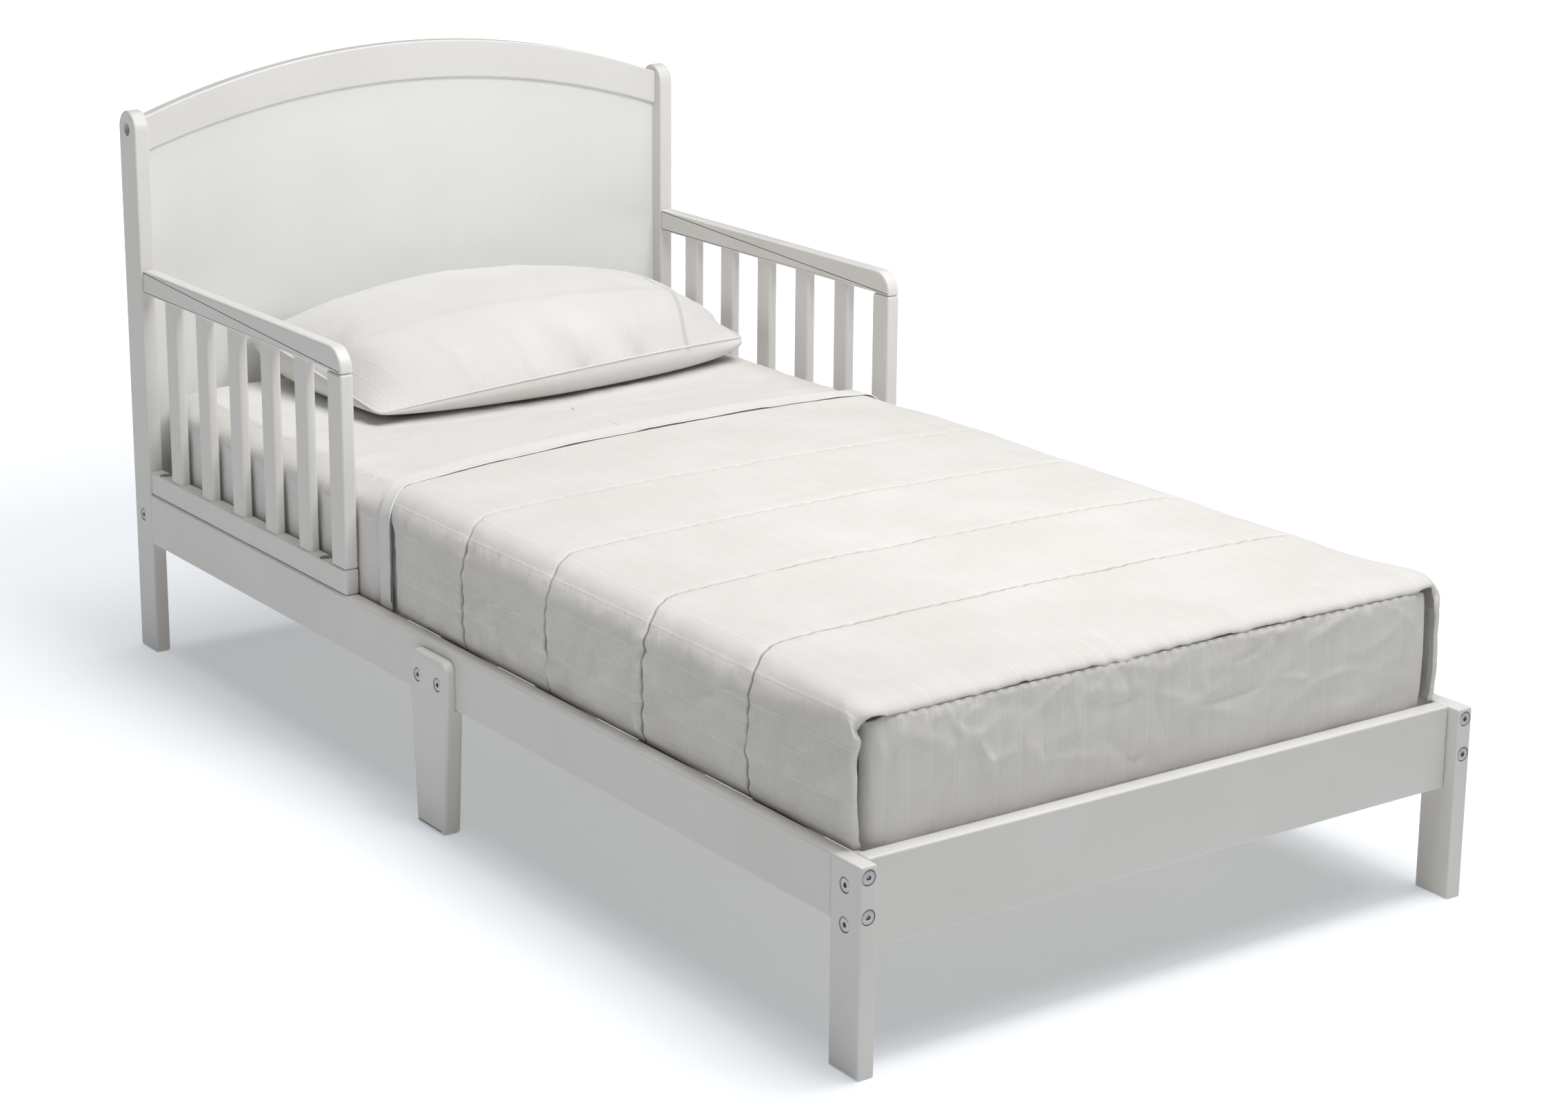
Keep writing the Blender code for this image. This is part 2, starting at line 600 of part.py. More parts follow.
def coverlet(cotton, mattress_lift):
    """A quilted cover over the foot end, with its sides and foot tucked down inside the rails."""
    foot_y = MATTRESS_FOOT_Y - GAP - COVERLET_SIDE_THICKNESS
    outline = rounded_plan((-COVERLET_HALF_WIDTH, foot_y), (COVERLET_HALF_WIDTH, COVERLET_HEAD_Y),
                           COVERLET_CORNER, ("foot_left", "foot_right"))
    shell = extruded("coverlet", outline, "Z", COVERLET_LOW, COVERLET_TOP, cotton)
    half = COVERLET_HALF_WIDTH - COVERLET_SIDE_THICKNESS
    hollow = rounded_plan((-half, MATTRESS_FOOT_Y - GAP), (half, COVERLET_HEAD_Y + 0.1),
                          MATTRESS_CORNER, ("foot_left", "foot_right"))
    cut(shell, [extruded("hollow", hollow, "Z", COVERLET_LOW - 0.05, MATTRESS_TOP + GAP)])
    lift = lift_point("coverlet_lift_point", MATTRESS_TOP, mattress_lift)
    hang_on(shell, lift)


def pillow(cotton, mattress_lift):
    """A small pillow in its case, across the headboard end."""
    low = (*PILLOW_LOW, MATTRESS_TOP + 2 * GAP)
    high = (*PILLOW_HIGH, MATTRESS_TOP + 2 * GAP + PILLOW_HEIGHT)
    body = board("pillow", low, high, cotton)
    ease_edges(body, PILLOW_EDGE, 3)
    lift = lift_point("pillow_lift_point", MATTRESS_TOP, mattress_lift)
    hang_on(body, lift)


def main():
    for obj in list(bpy.data.objects):
        bpy.data.objects.remove(obj)
    paint = finish("White satin paint", (0.80, 0.80, 0.78), 0.42)
    pine = finish("Bare pine", (0.70, 0.53, 0.34), 0.60)
    steel = finish("Zinc plated steel", (0.45, 0.46, 0.47), 0.35, 1.0)
    sheet = finish("White cotton sheet", (0.84, 0.83, 0.80), 0.85)
    quilt = finish("Ivory quilted cotton", (0.82, 0.80, 0.76), 0.90)
    case = finish("White cotton pillowcase", (0.84, 0.83, 0.81), 0.85)

    for side, sign in SIDES_OF_BED:
        headboard_post(side, sign, paint)
        side_rail(side, sign, paint)
        foot_leg(side, sign, paint)
        mid_leg(side, sign, paint)
        guard(side, sign, paint)
    headboard_rails(paint)
    headboard_panel(paint)
    foot_rail(paint)
    slatted_base(pine)
    bolts(steel)
    mattress_lift = mattress(sheet)
    coverlet(quilt, mattress_lift)
    pillow(case, mattress_lift)


main()
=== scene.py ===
# %% [markdown]
# # A toddler bed, from bare frame to made bed
# This lesson dresses a plain, exact model of a toddler bed. The frame comes in as a set of
# boards and bolts of the right size, and stays where it is. Each cell then makes one kind of
# piece or one finish: routed boards, turned bolts, a mattress, a fitted sheet, a coverlet, the
# turned-back hem of the top sheet and a pillow. Shapes are worked out with numpy as whole arrays
# of points, which is quick and keeps every curve tied to a formula.

# %% Load the frame
import math

import bpy
import numpy as np
from mathutils import Matrix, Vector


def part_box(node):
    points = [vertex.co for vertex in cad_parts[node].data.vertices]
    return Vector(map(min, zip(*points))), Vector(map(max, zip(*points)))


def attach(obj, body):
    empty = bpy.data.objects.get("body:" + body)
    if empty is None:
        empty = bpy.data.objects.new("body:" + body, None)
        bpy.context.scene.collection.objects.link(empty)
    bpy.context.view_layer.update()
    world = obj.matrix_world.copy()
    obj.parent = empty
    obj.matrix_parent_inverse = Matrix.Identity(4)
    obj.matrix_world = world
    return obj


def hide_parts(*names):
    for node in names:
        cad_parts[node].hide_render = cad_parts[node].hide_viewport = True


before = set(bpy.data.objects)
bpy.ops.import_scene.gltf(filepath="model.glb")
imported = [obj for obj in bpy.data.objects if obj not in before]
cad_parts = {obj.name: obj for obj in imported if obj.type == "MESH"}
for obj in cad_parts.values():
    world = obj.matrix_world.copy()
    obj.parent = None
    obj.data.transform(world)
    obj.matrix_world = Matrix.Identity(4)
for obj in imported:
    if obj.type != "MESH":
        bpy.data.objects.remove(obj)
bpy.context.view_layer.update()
NODES = sorted(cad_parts)

# %% [markdown]
# ## Helpers for meshes
# A mesh is a list of points and a list of faces. Nearly every surface here is a sheet of
# points with rows and columns, so one helper numbers its four-cornered faces and another one
# hands the arrays to Blender in one go. Points can carry extra numbers, such as how worn an
# edge is, and a UV map that measures cloth in metres, so that a weave follows the cloth.

# %% Helpers for meshes
def grid_faces(rows, columns, wrap_rows=False, wrap_columns=False):
    """Four-cornered faces of a sheet of points numbered row by row, closed round if it wraps."""
    row = np.arange(rows if wrap_rows else rows - 1)[:, None]
    column = np.arange(columns if wrap_columns else columns - 1)[None, :]
    after_row = (row + 1) % rows
    after_column = (column + 1) % columns
    corners = [row * columns + column, row * columns + after_column,
               after_row * columns + after_column, after_row * columns + column]
    return np.stack(corners, axis=-1).reshape(-1, 4)


def make_mesh(name, points, quads, caps=(), uv=None, marks=None):
    """A smooth-shaded object from arrays: points, four-cornered faces and many-cornered caps."""
    loops = np.concatenate([quads.ravel(), *[np.asarray(cap) for cap in caps]]).astype(np.int32)
    sizes = np.concatenate([np.full(len(quads), 4), [len(cap) for cap in caps]]).astype(np.int32)
    mesh = bpy.data.meshes.new(name)
    mesh.vertices.add(len(points))
    mesh.vertices.foreach_set("co", np.asarray(points, np.float32).ravel())
    mesh.loops.add(len(loops))
    mesh.loops.foreach_set("vertex_index", loops)
    mesh.polygons.add(len(sizes))
    mesh.polygons.foreach_set("loop_start", (np.cumsum(sizes) - sizes).astype(np.int32))
    mesh.update(calc_edges=True)
    if uv is not None:
        layer = mesh.uv_layers.new(name="cloth")
        layer.uv.foreach_set("vector", np.asarray(uv, np.float32)[loops].ravel())
    for mark, values in (marks or {}).items():
        attribute = mesh.attributes.new(mark, "FLOAT", "POINT")
        attribute.data.foreach_set("value", np.asarray(values, np.float32).ravel())
    mesh.validate()
    mesh.shade_smooth()
    piece = bpy.data.objects.new(name, mesh)
    bpy.context.scene.collection.objects.link(piece)
    return piece


def turn_outward(piece):
    """Flips every face if the enclosed volume comes out negative, so that faces point outwards."""
    mesh = piece.data
    mesh.calc_loop_triangles()
    points = np.empty(len(mesh.vertices) * 3, np.float32)
    mesh.vertices.foreach_get("co", points)
    triangles = np.empty(len(mesh.loop_triangles) * 3, np.int32)
    mesh.loop_triangles.foreach_get("vertices", triangles)
    a, b, c = points.reshape(-1, 3)[triangles.reshape(-1, 3)].transpose(1, 0, 2).astype(float)
    if np.einsum("ij,ij->i", a, np.cross(b, c)).sum() < 0:
        mesh.flip_normals()


def middle(node):
    """Centre and half size of a part's box."""
    low, high = (np.array(corner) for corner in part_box(node))
    return (low + high) / 2, (high - low) / 2


print("helpers ready")

# %% [markdown]
# ## Helpers for finishes
# A finish is a small graph of nodes that ends in one Principled shader. Colours are written
# as the hex values a paint card would give, and one function turns them to the linear light
# that the shader wants. Patterns are scaled in millimetres, so their size is the real one.

# %% Helpers for finishes
def linear(code):
    """Linear colour from an sRGB hex code: the inverse of the display's brightness curve."""
    parts = [int(code[place:place + 2], 16) / 255 for place in (1, 3, 5)]
    return [part / 12.92 if part <= 0.04045 else ((part + 0.055) / 1.055) ** 2.4 for part in parts] + [1.0]


def add_node(tree, kind, settings=None, links=None):
    """Adds a node, sets its properties and inputs, and joins its inputs to other nodes' outputs."""
    node = tree.nodes.new(kind)
    for key, value in (settings or {}).items():
        if isinstance(key, str) and hasattr(node, key):
            setattr(node, key, value)
        else:
            node.inputs[key].default_value = value
    for key, source in (links or {}).items():
        tree.links.new(source, node.inputs[key])
    return node


def new_finish(name, settings):
    """A material whose Principled shader has the given constant values; returns it with its tree and shader."""
    material = bpy.data.materials.new(name)
    material.use_nodes = True
    tree = material.node_tree
    shader = tree.nodes["Principled BSDF"]
    for key, value in settings.items():
        shader.inputs[key].default_value = value
    return material, tree, shader


def two_tone(tree, amount, first, second):
    """Blends two hex colours by a 0 to 1 output."""
    mix = add_node(tree, "ShaderNodeMix", {"data_type": "RGBA"}, {0: amount})
    mix.inputs[6].default_value = linear(first)
    mix.inputs[7].default_value = linear(second)
    return mix.outputs[2]


def sum_of(tree, first, second, share):
    """first + second * share."""
    return add_node(tree, "ShaderNodeMath", {"operation": "MULTIPLY_ADD", 1: share},
                    {0: second, 2: first}).outputs[0]


print("finish helpers ready")

# %% [markdown]
# ## Satin paint on wood
# The frame is rubberwood and MDF sprayed with white satin lacquer. Sprayed paint is not dead
# flat: it keeps a faint orange peel about 2 mm across, the grain shows through as very shallow
# lines along the board, and the film is thinner and a little more polished on the routed edges,
# where hands touch it. The grain pattern is stretched along the board, so one function makes
# the finish for each direction that a board can run in.

# %% Satin paint on wood
def satin_paint(name, along, light="#E9E7E4", deep="#E5E3DF"):
    """White satin lacquer over fine grain that runs along axis 0, 1 or 2."""
    material, tree, shader = new_finish(name, {"IOR": 1.48, "Coat Weight": 0.12, "Coat Roughness": 0.22})
    place = add_node(tree, "ShaderNodeTexCoord").outputs["Object"]
    stretch = [260.0, 260.0, 260.0]  # about one grain line to 4 mm across the board
    stretch[along] = 5.0
    run = add_node(tree, "ShaderNodeMapping", {"Scale": stretch}, {"Vector": place}).outputs[0]
    grain = add_node(tree, "ShaderNodeTexNoise", {"Scale": 1.0, "Detail": 3.0, "Roughness": 0.6}, {"Vector": run})
    peel = add_node(tree, "ShaderNodeTexNoise", {"Scale": 480.0, "Detail": 1.0}, {"Vector": place})
    cloud = add_node(tree, "ShaderNodeTexNoise", {"Scale": 7.0, "Detail": 3.0}, {"Vector": place})
    worn = add_node(tree, "ShaderNodeAttribute", {"attribute_name": "edge"}).outputs["Fac"]
    tint = add_node(tree, "ShaderNodeMapRange", {"From Min": 0.35, "From Max": 0.65}, {"Value": cloud.outputs[0]})
    body = two_tone(tree, tint.outputs[0], deep, light)
    lines = add_node(tree, "ShaderNodeMapRange", {"From Min": 0.45, "From Max": 0.75, "To Max": 0.10},
                     {"Value": grain.outputs[0]})
    grained = add_node(tree, "ShaderNodeMix", {"data_type": "RGBA"}, {0: lines.outputs[0], 6: body})
    grained.inputs[7].default_value = linear("#DEDDD9")
    handled = add_node(tree, "ShaderNodeMath", {"operation": "MULTIPLY", 1: 0.5}, {0: worn})
    edged = add_node(tree, "ShaderNodeMix", {"data_type": "RGBA"}, {0: handled.outputs[0], 6: grained.outputs[2]})
    edged.inputs[7].default_value = linear("#EEEEEC")
    tree.links.new(edged.outputs[2], shader.inputs["Base Color"])
    dull = add_node(tree, "ShaderNodeMapRange", {"To Min": 0.36, "To Max": 0.50}, {"Value": cloud.outputs[0]})
    rough = add_node(tree, "ShaderNodeMath", {"operation": "MULTIPLY_ADD", 1: -0.08},
                     {0: worn, 2: dull.outputs[0]})
    tree.links.new(rough.outputs[0], shader.inputs["Roughness"])
    height = sum_of(tree, grain.outputs[0], peel.outputs[0], 0.6)
    bump = add_node(tree, "ShaderNodeBump", {"Strength": 0.30, "Distance": 0.00006}, {"Height": height})
    tree.links.new(bump.outputs[0], shader.inputs["Normal"])
    return material


PAINT = [satin_paint(f"white satin lacquer, grain along {axis}", number) for number, axis in enumerate("XYZ")]
# Painted light, in part: the panel's paint is a whiter copy of the frame's lacquer. Some of that is the smoother
# panel's own tone, and some stands in for light that the guard rails and the pillow keep off it.
LIGHTENED_PANEL_PAINT = satin_paint("white satin lacquer on the smooth panel", 2, "#F1F1EE", "#EEEEEB")
print("paints:", [material.name for material in PAINT])

# %% [markdown]
# ## Bare pine and zinc plated steel
# The ledges and the slats under the mattress are planed pine, left bare: pale straw earlywood
# with darker latewood lines every few millimetres, and small knots. The bolts are steel with
# bright zinc plating, turned on a lathe, which leaves fine tool marks, drawn as a fine bump,
# under a slightly cloudy film that sets how rough they are.

# %% Bare pine and zinc plated steel
def bare_pine(name, along):
    """Planed pine: growth rings cut lengthways, drawn as noise stretched along the board."""
    material, tree, shader = new_finish(name, {"IOR": 1.5})
    place = add_node(tree, "ShaderNodeTexCoord").outputs["Object"]
    stretch = [55.0, 55.0, 55.0]  # rings 4 to 8 mm apart on the face
    stretch[along] = 1.6
    run = add_node(tree, "ShaderNodeMapping", {"Scale": stretch}, {"Vector": place}).outputs[0]
    rings = add_node(tree, "ShaderNodeTexNoise", {"Scale": 1.0, "Detail": 2.0, "Distortion": 0.6}, {"Vector": run})
    bands = add_node(tree, "ShaderNodeMath", {"operation": "PINGPONG", 1: 0.06}, {0: rings.outputs[0]})
    late = add_node(tree, "ShaderNodeMapRange", {"From Max": 0.06}, {"Value": bands.outputs[0]})
    wood = two_tone(tree, late.outputs[0], "#D3C1A1", "#E4D8C0")
    knots = add_node(tree, "ShaderNodeTexVoronoi", {"Scale": 5.0}, {"Vector": place})
    dark = add_node(tree, "ShaderNodeMapRange", {"From Min": 0.03, "From Max": 0.055, "To Min": 0.8, "To Max": 0.0},
                    {"Value": knots.outputs["Distance"]})
    knotted = add_node(tree, "ShaderNodeMix", {"data_type": "RGBA"}, {0: dark.outputs[0], 6: wood})
    knotted.inputs[7].default_value = linear("#A08058")
    tree.links.new(knotted.outputs[2], shader.inputs["Base Color"])
    rough = add_node(tree, "ShaderNodeMapRange", {"To Min": 0.55, "To Max": 0.72}, {"Value": late.outputs[0]})
    tree.links.new(rough.outputs[0], shader.inputs["Roughness"])
    bump = add_node(tree, "ShaderNodeBump", {"Strength": 0.5, "Distance": 0.0002}, {"Height": late.outputs[0]})
    tree.links.new(bump.outputs[0], shader.inputs["Normal"])
    return material


def zinc_steel(name, light, dark, dullest):
    """Turned steel with bright zinc plating: fine tool marks and a cloudy film."""
    material, tree, shader = new_finish(name, {"Metallic": 1.0})
    place = add_node(tree, "ShaderNodeTexCoord").outputs["Object"]
    film = add_node(tree, "ShaderNodeTexNoise", {"Scale": 320.0, "Detail": 4.0}, {"Vector": place})
    marks = add_node(tree, "ShaderNodeTexNoise", {"Scale": 2600.0, "Detail": 1.0}, {"Vector": place})
    tree.links.new(two_tone(tree, film.outputs[0], dark, light), shader.inputs["Base Color"])
    rough = add_node(tree, "ShaderNodeMapRange", {"To Min": 0.22, "To Max": dullest}, {"Value": film.outputs[0]})
    tree.links.new(rough.outputs[0], shader.inputs["Roughness"])
    bump = add_node(tree, "ShaderNodeBump", {"Strength": 0.25, "Distance": 0.00003}, {"Height": marks.outputs[0]})
    tree.links.new(bump.outputs[0], shader.inputs["Normal"])
    return material


PINE = [bare_pine(f"bare planed pine, grain along {axis}", number) for number, axis in enumerate("XYZ")]
STEEL = zinc_steel("bright zinc plated steel", "#C4C5C6", "#A6A8AA", 0.42)
print("timber and metal ready")

# %% [markdown]
# ## Cotton: ribbed, plain and sateen
# The coverlet and the pillowcase are thin cotton with a dobby stripe every 25 mm, and the
# fitted sheet is plain percale. Yarn is about 0.25 mm thick, too fine to show from a few metres,
# so the weave is drawn at 0.8 mm, which gives the same soft, matt look. The stripe is a band of
# smoother sateen weave. The UV map is measured in metres along the cloth, so the weave and the
# stripes run over edges and folds as they do on real cloth. Sheen stands for the nap of loose
# fibres that catches light at grazing angles.

# %% Cotton finishes
def cotton(name, light, deep, weave_mm, stripe_mm=0.0, stripe_depth=0.5, sheen=0.25, crossed=False):
    """Woven cotton: crossed sine threads, slubs, an optional sateen stripe, and painted shade along seams and stitch
    lines.
    """
    material, tree, shader = new_finish(name, {
        "IOR": 1.46, "Sheen Weight": sheen, "Sheen Roughness": 0.45, "Sheen Tint": linear("#FFFDF8"),
        "Specular IOR Level": 0.25})
    cloth = add_node(tree, "ShaderNodeUVMap", {"uv_map": "cloth"}).outputs[0]
    place = add_node(tree, "ShaderNodeTexCoord").outputs["Object"]
    axes = add_node(tree, "ShaderNodeSeparateXYZ", None, {0: cloth})
    turns = 2 * math.pi / (weave_mm / 1000)
    threads = []
    for across in (0, 1):
        phase = add_node(tree, "ShaderNodeMath", {"operation": "MULTIPLY", 1: turns}, {0: axes.outputs[across]})
        threads.append(add_node(tree, "ShaderNodeMath", {"operation": "SINE"}, {0: phase.outputs[0]}).outputs[0])
    weave = add_node(tree, "ShaderNodeMath", {"operation": "MULTIPLY"}, {0: threads[0], 1: threads[1]}).outputs[0]
    slub_run = add_node(tree, "ShaderNodeMapping", {"Scale": (900.0, 60.0, 1.0)}, {"Vector": cloth}).outputs[0]
    slubs = add_node(tree, "ShaderNodeTexNoise", {"Scale": 1.0, "Detail": 2.0}, {"Vector": slub_run}).outputs[0]
    cloud = add_node(tree, "ShaderNodeTexNoise", {"Scale": 9.0, "Detail": 4.0}, {"Vector": place}).outputs[0]
    height = sum_of(tree, weave, slubs, 1.2)
    tone = add_node(tree, "ShaderNodeMapRange", {"From Min": 0.3, "From Max": 0.7}, {"Value": cloud}).outputs[0]
    tone = sum_of(tree, tone, slubs, 0.5)
    if stripe_mm:
        reach = add_node(tree, "ShaderNodeMath", {"operation": "PINGPONG", 1: stripe_mm / 2000},
                         {0: axes.outputs[1 if crossed else 0]})
        stripe = add_node(tree, "ShaderNodeMapRange", {
            "interpolation_type": "SMOOTHSTEP", "From Min": 0.0007, "From Max": 0.0016,
            "To Min": 1.0, "To Max": 0.0}, {"Value": reach.outputs[0]}).outputs[0]
        height = sum_of(tree, height, stripe, 2.5)
        tone = sum_of(tree, tone, stripe, -stripe_depth)
    rumple = add_node(tree, "ShaderNodeAttribute", {"attribute_name": "rumple"}).outputs["Fac"]
    hang = add_node(tree, "ShaderNodeMapping", {"Scale": (22.0, 120.0, 1.0)}, {"Vector": cloth}).outputs[0]
    upright = add_node(tree, "ShaderNodeTexNoise", {"Scale": 1.0, "Detail": 2.0, "Distortion": 0.4}, {"Vector": hang})
    crumple = add_node(tree, "ShaderNodeTexNoise", {"Scale": 48.0, "Detail": 3.0, "Distortion": 0.8},
                       {"Vector": place})
    wrinkled = sum_of(tree, upright.outputs[0], crumple.outputs[0], 0.8)
    wrinkled = add_node(tree, "ShaderNodeMath", {"operation": "MULTIPLY"}, {0: wrinkled, 1: rumple}).outputs[0]
    height = sum_of(tree, height, wrinkled, 18.0)
    # Painted shade: the 'seam' mark, 0 to 1, darkens the cloth towards a deep brown-grey along seam grooves, piping
    # and stitch lines, where shade falls.
    seam = add_node(tree, "ShaderNodeAttribute", {"attribute_name": "seam"}).outputs["Fac"]
    body = two_tone(tree, tone, light, deep)
    shaded = add_node(tree, "ShaderNodeMix", {"data_type": "RGBA"}, {0: seam, 6: body})
    shaded.inputs[7].default_value = linear("#6E675F")
    tree.links.new(shaded.outputs[2], shader.inputs["Base Color"])
    rough = add_node(tree, "ShaderNodeMapRange", {"To Min": 0.78, "To Max": 0.92}, {"Value": slubs})
    tree.links.new(rough.outputs[0], shader.inputs["Roughness"])
    bump = add_node(tree, "ShaderNodeBump", {"Strength": 0.55, "Distance": 0.00016}, {"Height": height})
    tree.links.new(bump.outputs[0], shader.inputs["Normal"])
    return material


IVORY = ("#F0EEEA", "#E9E6E2")
COVERLET_CLOTH = cotton("ivory cotton with a dobby stripe", *IVORY, 0.8, stripe_mm=25.0)
FOOT_CLOTH = cotton("ivory cotton with the stripe turned", *IVORY, 0.8, stripe_mm=25.0, crossed=True)
SHEET_CLOTH = cotton("white cotton percale", "#EDEBE9", "#E8E5E2", 0.7, sheen=0.2)
HEM_CLOTH = cotton("white cotton sateen hem", "#F8F7F5", "#F5F4F2", 0.6, sheen=0.35)
CASE_CLOTH = cotton("white cotton pillowcase", "#EFEEEC", "#EAE8E5", 0.7, stripe_mm=25.0, stripe_depth=0.2)
TICKING = cotton("natural cotton ticking", "#ECE9E3", "#E2DED5", 1.2, stripe_mm=18.0)
print("cottons ready")

# %% [markdown]
# ## Routed boards
# Every board of the frame is planed square and then run over a router, which rounds its edges
# by 2 or 3 mm. A box with a Bevel modifier would do, but a board can also be seen as an outline
# carried through its thickness, with the outline drawn in a little as it nears each face. That
# gives the rounded rim directly, it works for round-topped posts and arched rails too, and the
# rim's points can carry the edge wear that the paint needs.

# %% Outlines and boards
RIM_STEPS = 5
AXES = {0: (1, 2), 1: (0, 2), 2: (0, 1)}  # the two axes of the outline for a board this thick way


def rounded_outline(corners, radii, steps=6):
    """Closed outline with an arc at each corner, counter-clockwise, and the outward direction at each point.

    An arc's centre lies inside the corner, radius divided by the cosine of half the turn away.
    """
    corners = np.asarray(corners, float)
    radii = np.broadcast_to(np.asarray(radii, float), len(corners))
    incoming = corners - np.roll(corners, 1, axis=0)
    outgoing = np.roll(corners, -1, axis=0) - corners
    start = np.arctan2(incoming[:, 1], incoming[:, 0]) - math.pi / 2
    end = np.arctan2(outgoing[:, 1], outgoing[:, 0]) - math.pi / 2
    turn = (end - start + math.pi) % (2 * math.pi) - math.pi
    half = start + turn / 2
    reach = (radii / np.cos(turn / 2))[:, None]
    centres = corners - reach * np.stack([np.cos(half), np.sin(half)], axis=1)
    angles = start[:, None] + turn[:, None] * np.linspace(0, 1, steps + 1)
    outward = np.stack([np.cos(angles), np.sin(angles)], axis=-1)
    points = centres[:, None, :] + radii[:, None, None] * outward
    return points.reshape(-1, 2), outward.reshape(-1, 2)


def board_from_outline(name, outline, outward, low, high, thick_axis, rim):
    """Carries an outline from low to high along one axis, drawing it in by rim * (1 - cos) near each face."""
    sweep = np.linspace(0, math.pi / 2, RIM_STEPS)
    inset = rim * (1 - np.cos(sweep))
    depth = rim * (1 - np.sin(sweep))
    insets = np.concatenate([inset[::-1], inset])
    heights = np.concatenate([low + depth[::-1], high - depth])
    rings = outline[None] - insets[:, None, None] * outward[None]
    points = np.empty((*rings.shape[:2], 3))
    first, second = AXES[thick_axis]
    points[..., first] = rings[..., 0]
    points[..., second] = rings[..., 1]
    points[..., thick_axis] = heights[:, None]
    count = len(outline)
    quads = grid_faces(len(heights), count, wrap_columns=True)
    caps = [np.arange(count)[::-1], np.arange(count) + (len(heights) - 1) * count]
    wear = np.repeat(np.concatenate([np.cos(sweep)[::-1], np.cos(sweep)]), count)
    piece = make_mesh(name, points.reshape(-1, 3), quads, caps, marks={"edge": wear * (insets.repeat(count) > 0)})
    turn_outward(piece)
    return piece


def boxed_board(name, node, rim):
    """A routed board that fills a part's box; its shortest side is its thickness."""
    low, high = (np.array(corner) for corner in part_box(node))
    thick = int(np.argmin(high - low))
    first, second = AXES[thick]
    corners = [(low[first], low[second]), (high[first], low[second]),
               (high[first], high[second]), (low[first], high[second])]
    outline, outward = rounded_outline(corners, rim, 5)
    return board_from_outline(name, outline, outward, low[thick], high[thick], thick, rim)


def turned(name, rows, origin, direction, segments=48):
    """Solid of revolution. Rows are (radius, distance along direction, hex or not); a hexagon's radius is
    divided by the cosine of the angle from the middle of its nearest flat."""
    direction = np.asarray(direction, float)
    helper = np.array([0, 0, 1.0]) if abs(direction[2]) < 0.5 else np.array([1.0, 0, 0])
    side = np.cross(helper, direction)
    side /= np.linalg.norm(side)
    other = np.cross(direction, side)
    angle = np.arange(segments) * 2 * math.pi / segments
    to_flat = (angle % (math.pi / 3)) - math.pi / 6
    radii = np.array([[row[0] * (math.cos(math.pi / 6) / np.cos(turn) if row[2] else 1.0) for turn in to_flat]
                      for row in rows])
    along = np.array([row[1] for row in rows])
    ring = np.cos(angle)[:, None] * side + np.sin(angle)[:, None] * other
    points = np.asarray(origin) + radii[..., None] * ring[None] + along[:, None, None] * direction
    quads = grid_faces(len(rows), segments, wrap_columns=True)
    caps = [np.arange(segments)[::-1], np.arange(segments) + (len(rows) - 1) * segments]
    piece = make_mesh(name, points.reshape(-1, 3), quads, caps)
    turn_outward(piece)
    return piece


def finish_edges(piece, degrees=32):
    """Keeps real corners crisp, and lets flat faces set the shading of the rims beside them."""
    piece.data.set_sharp_from_angle(angle=math.radians(degrees))
    weighted = piece.modifiers.new("flat faces stay flat", "WEIGHTED_NORMAL")
    weighted.keep_sharp = True


def bore(piece, drills):
    """Takes each drill out of the piece with an exact Boolean, and stores the result."""
    for drill in drills:
        cut = piece.modifiers.new("bore", "BOOLEAN")
        cut.operation = "DIFFERENCE"
        cut.object = drill
    graph = bpy.context.evaluated_depsgraph_get()
    result = bpy.data.meshes.new_from_object(piece.evaluated_get(graph))
    piece.modifiers.clear()
    piece.data = result
    for drill in drills:
        bpy.data.objects.remove(drill)


def paint_board(piece, node, materials=PAINT):
    """Gives a board the finish whose grain runs along its longest side, and lets it stand for its part."""
    _, half = middle(node)
    piece.data.materials.clear()
    piece.data.materials.append(materials[int(np.argmax(half))])
    finish_edges(piece)
    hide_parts(node)
    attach(piece, "frame")


print("board helpers ready")

# %% [markdown]
# ## Bolts, barrel nuts and their bores
# The frame is knock-down furniture: a bolt with a flat, round head and a hex socket goes
# through a post into a barrel nut that lies across the end of the rail. The head sits in a
# counterbore, so its top is almost flush. The bolts are turned pieces with a six-sided recess.
# Each one's place, its direction and its bore come from the box of the matching part.

# %% Bolts and bores
SHANK = 0.003          # radii of a bolt's shank, a bolt's head and a barrel nut
HEAD = 0.007
NUT = 0.005
BORE_ROOM = 0.0006     # gap round a head or a nut in its hole
BOLT_TIP = 0.006       # thread past the middle of the nut
HEAD_SUNK = 0.0004     # how far a head lies below the face round it
SIDES = ("left", "right")


def bolt_direction(node):
    """The way a bolt is driven: along its box's longest side, towards the middle of the bed or down."""
    centre, half = middle(node)
    axis = int(np.argmax(half))
    way = np.zeros(3)
    way[axis] = {0: -np.sign(centre[0]), 1: 1.0, 2: -1.0}[axis]
    return way, axis


def head_top(node):
    """Middle of a bolt head's top face. The head is the bolt's widest round part, so it is centred on the box."""
    centre, half = middle(node)
    way, axis = bolt_direction(node)
    return centre - way * half[axis]


def turned_bolt(name, top, way, length):
    """Flat head with a rounded rim and a hex socket, and a plain shank, from the middle of the head's top face."""
    rows = [(0.0024, 0.0021, True), (0.0026, 0.0020, True), (0.0026, 0.0003, True), (0.0029, 0.0, True),
            (0.0036, 0.0, False), (0.0061, 0.0, False), (0.0066, 0.0002, False), (0.0069, 0.0005, False),
            (HEAD, 0.0010, False), (HEAD, 0.0026, False), (0.0068, 0.0028, False), (SHANK, 0.0028, False),
            (SHANK, length - 0.001, False), (SHANK - 0.001, length, False)]
    piece = turned(name, rows, top, way)
    piece.data.materials.append(STEEL)
    piece.data.set_sharp_from_angle(angle=math.radians(40))
    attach(piece, "frame")
    return piece


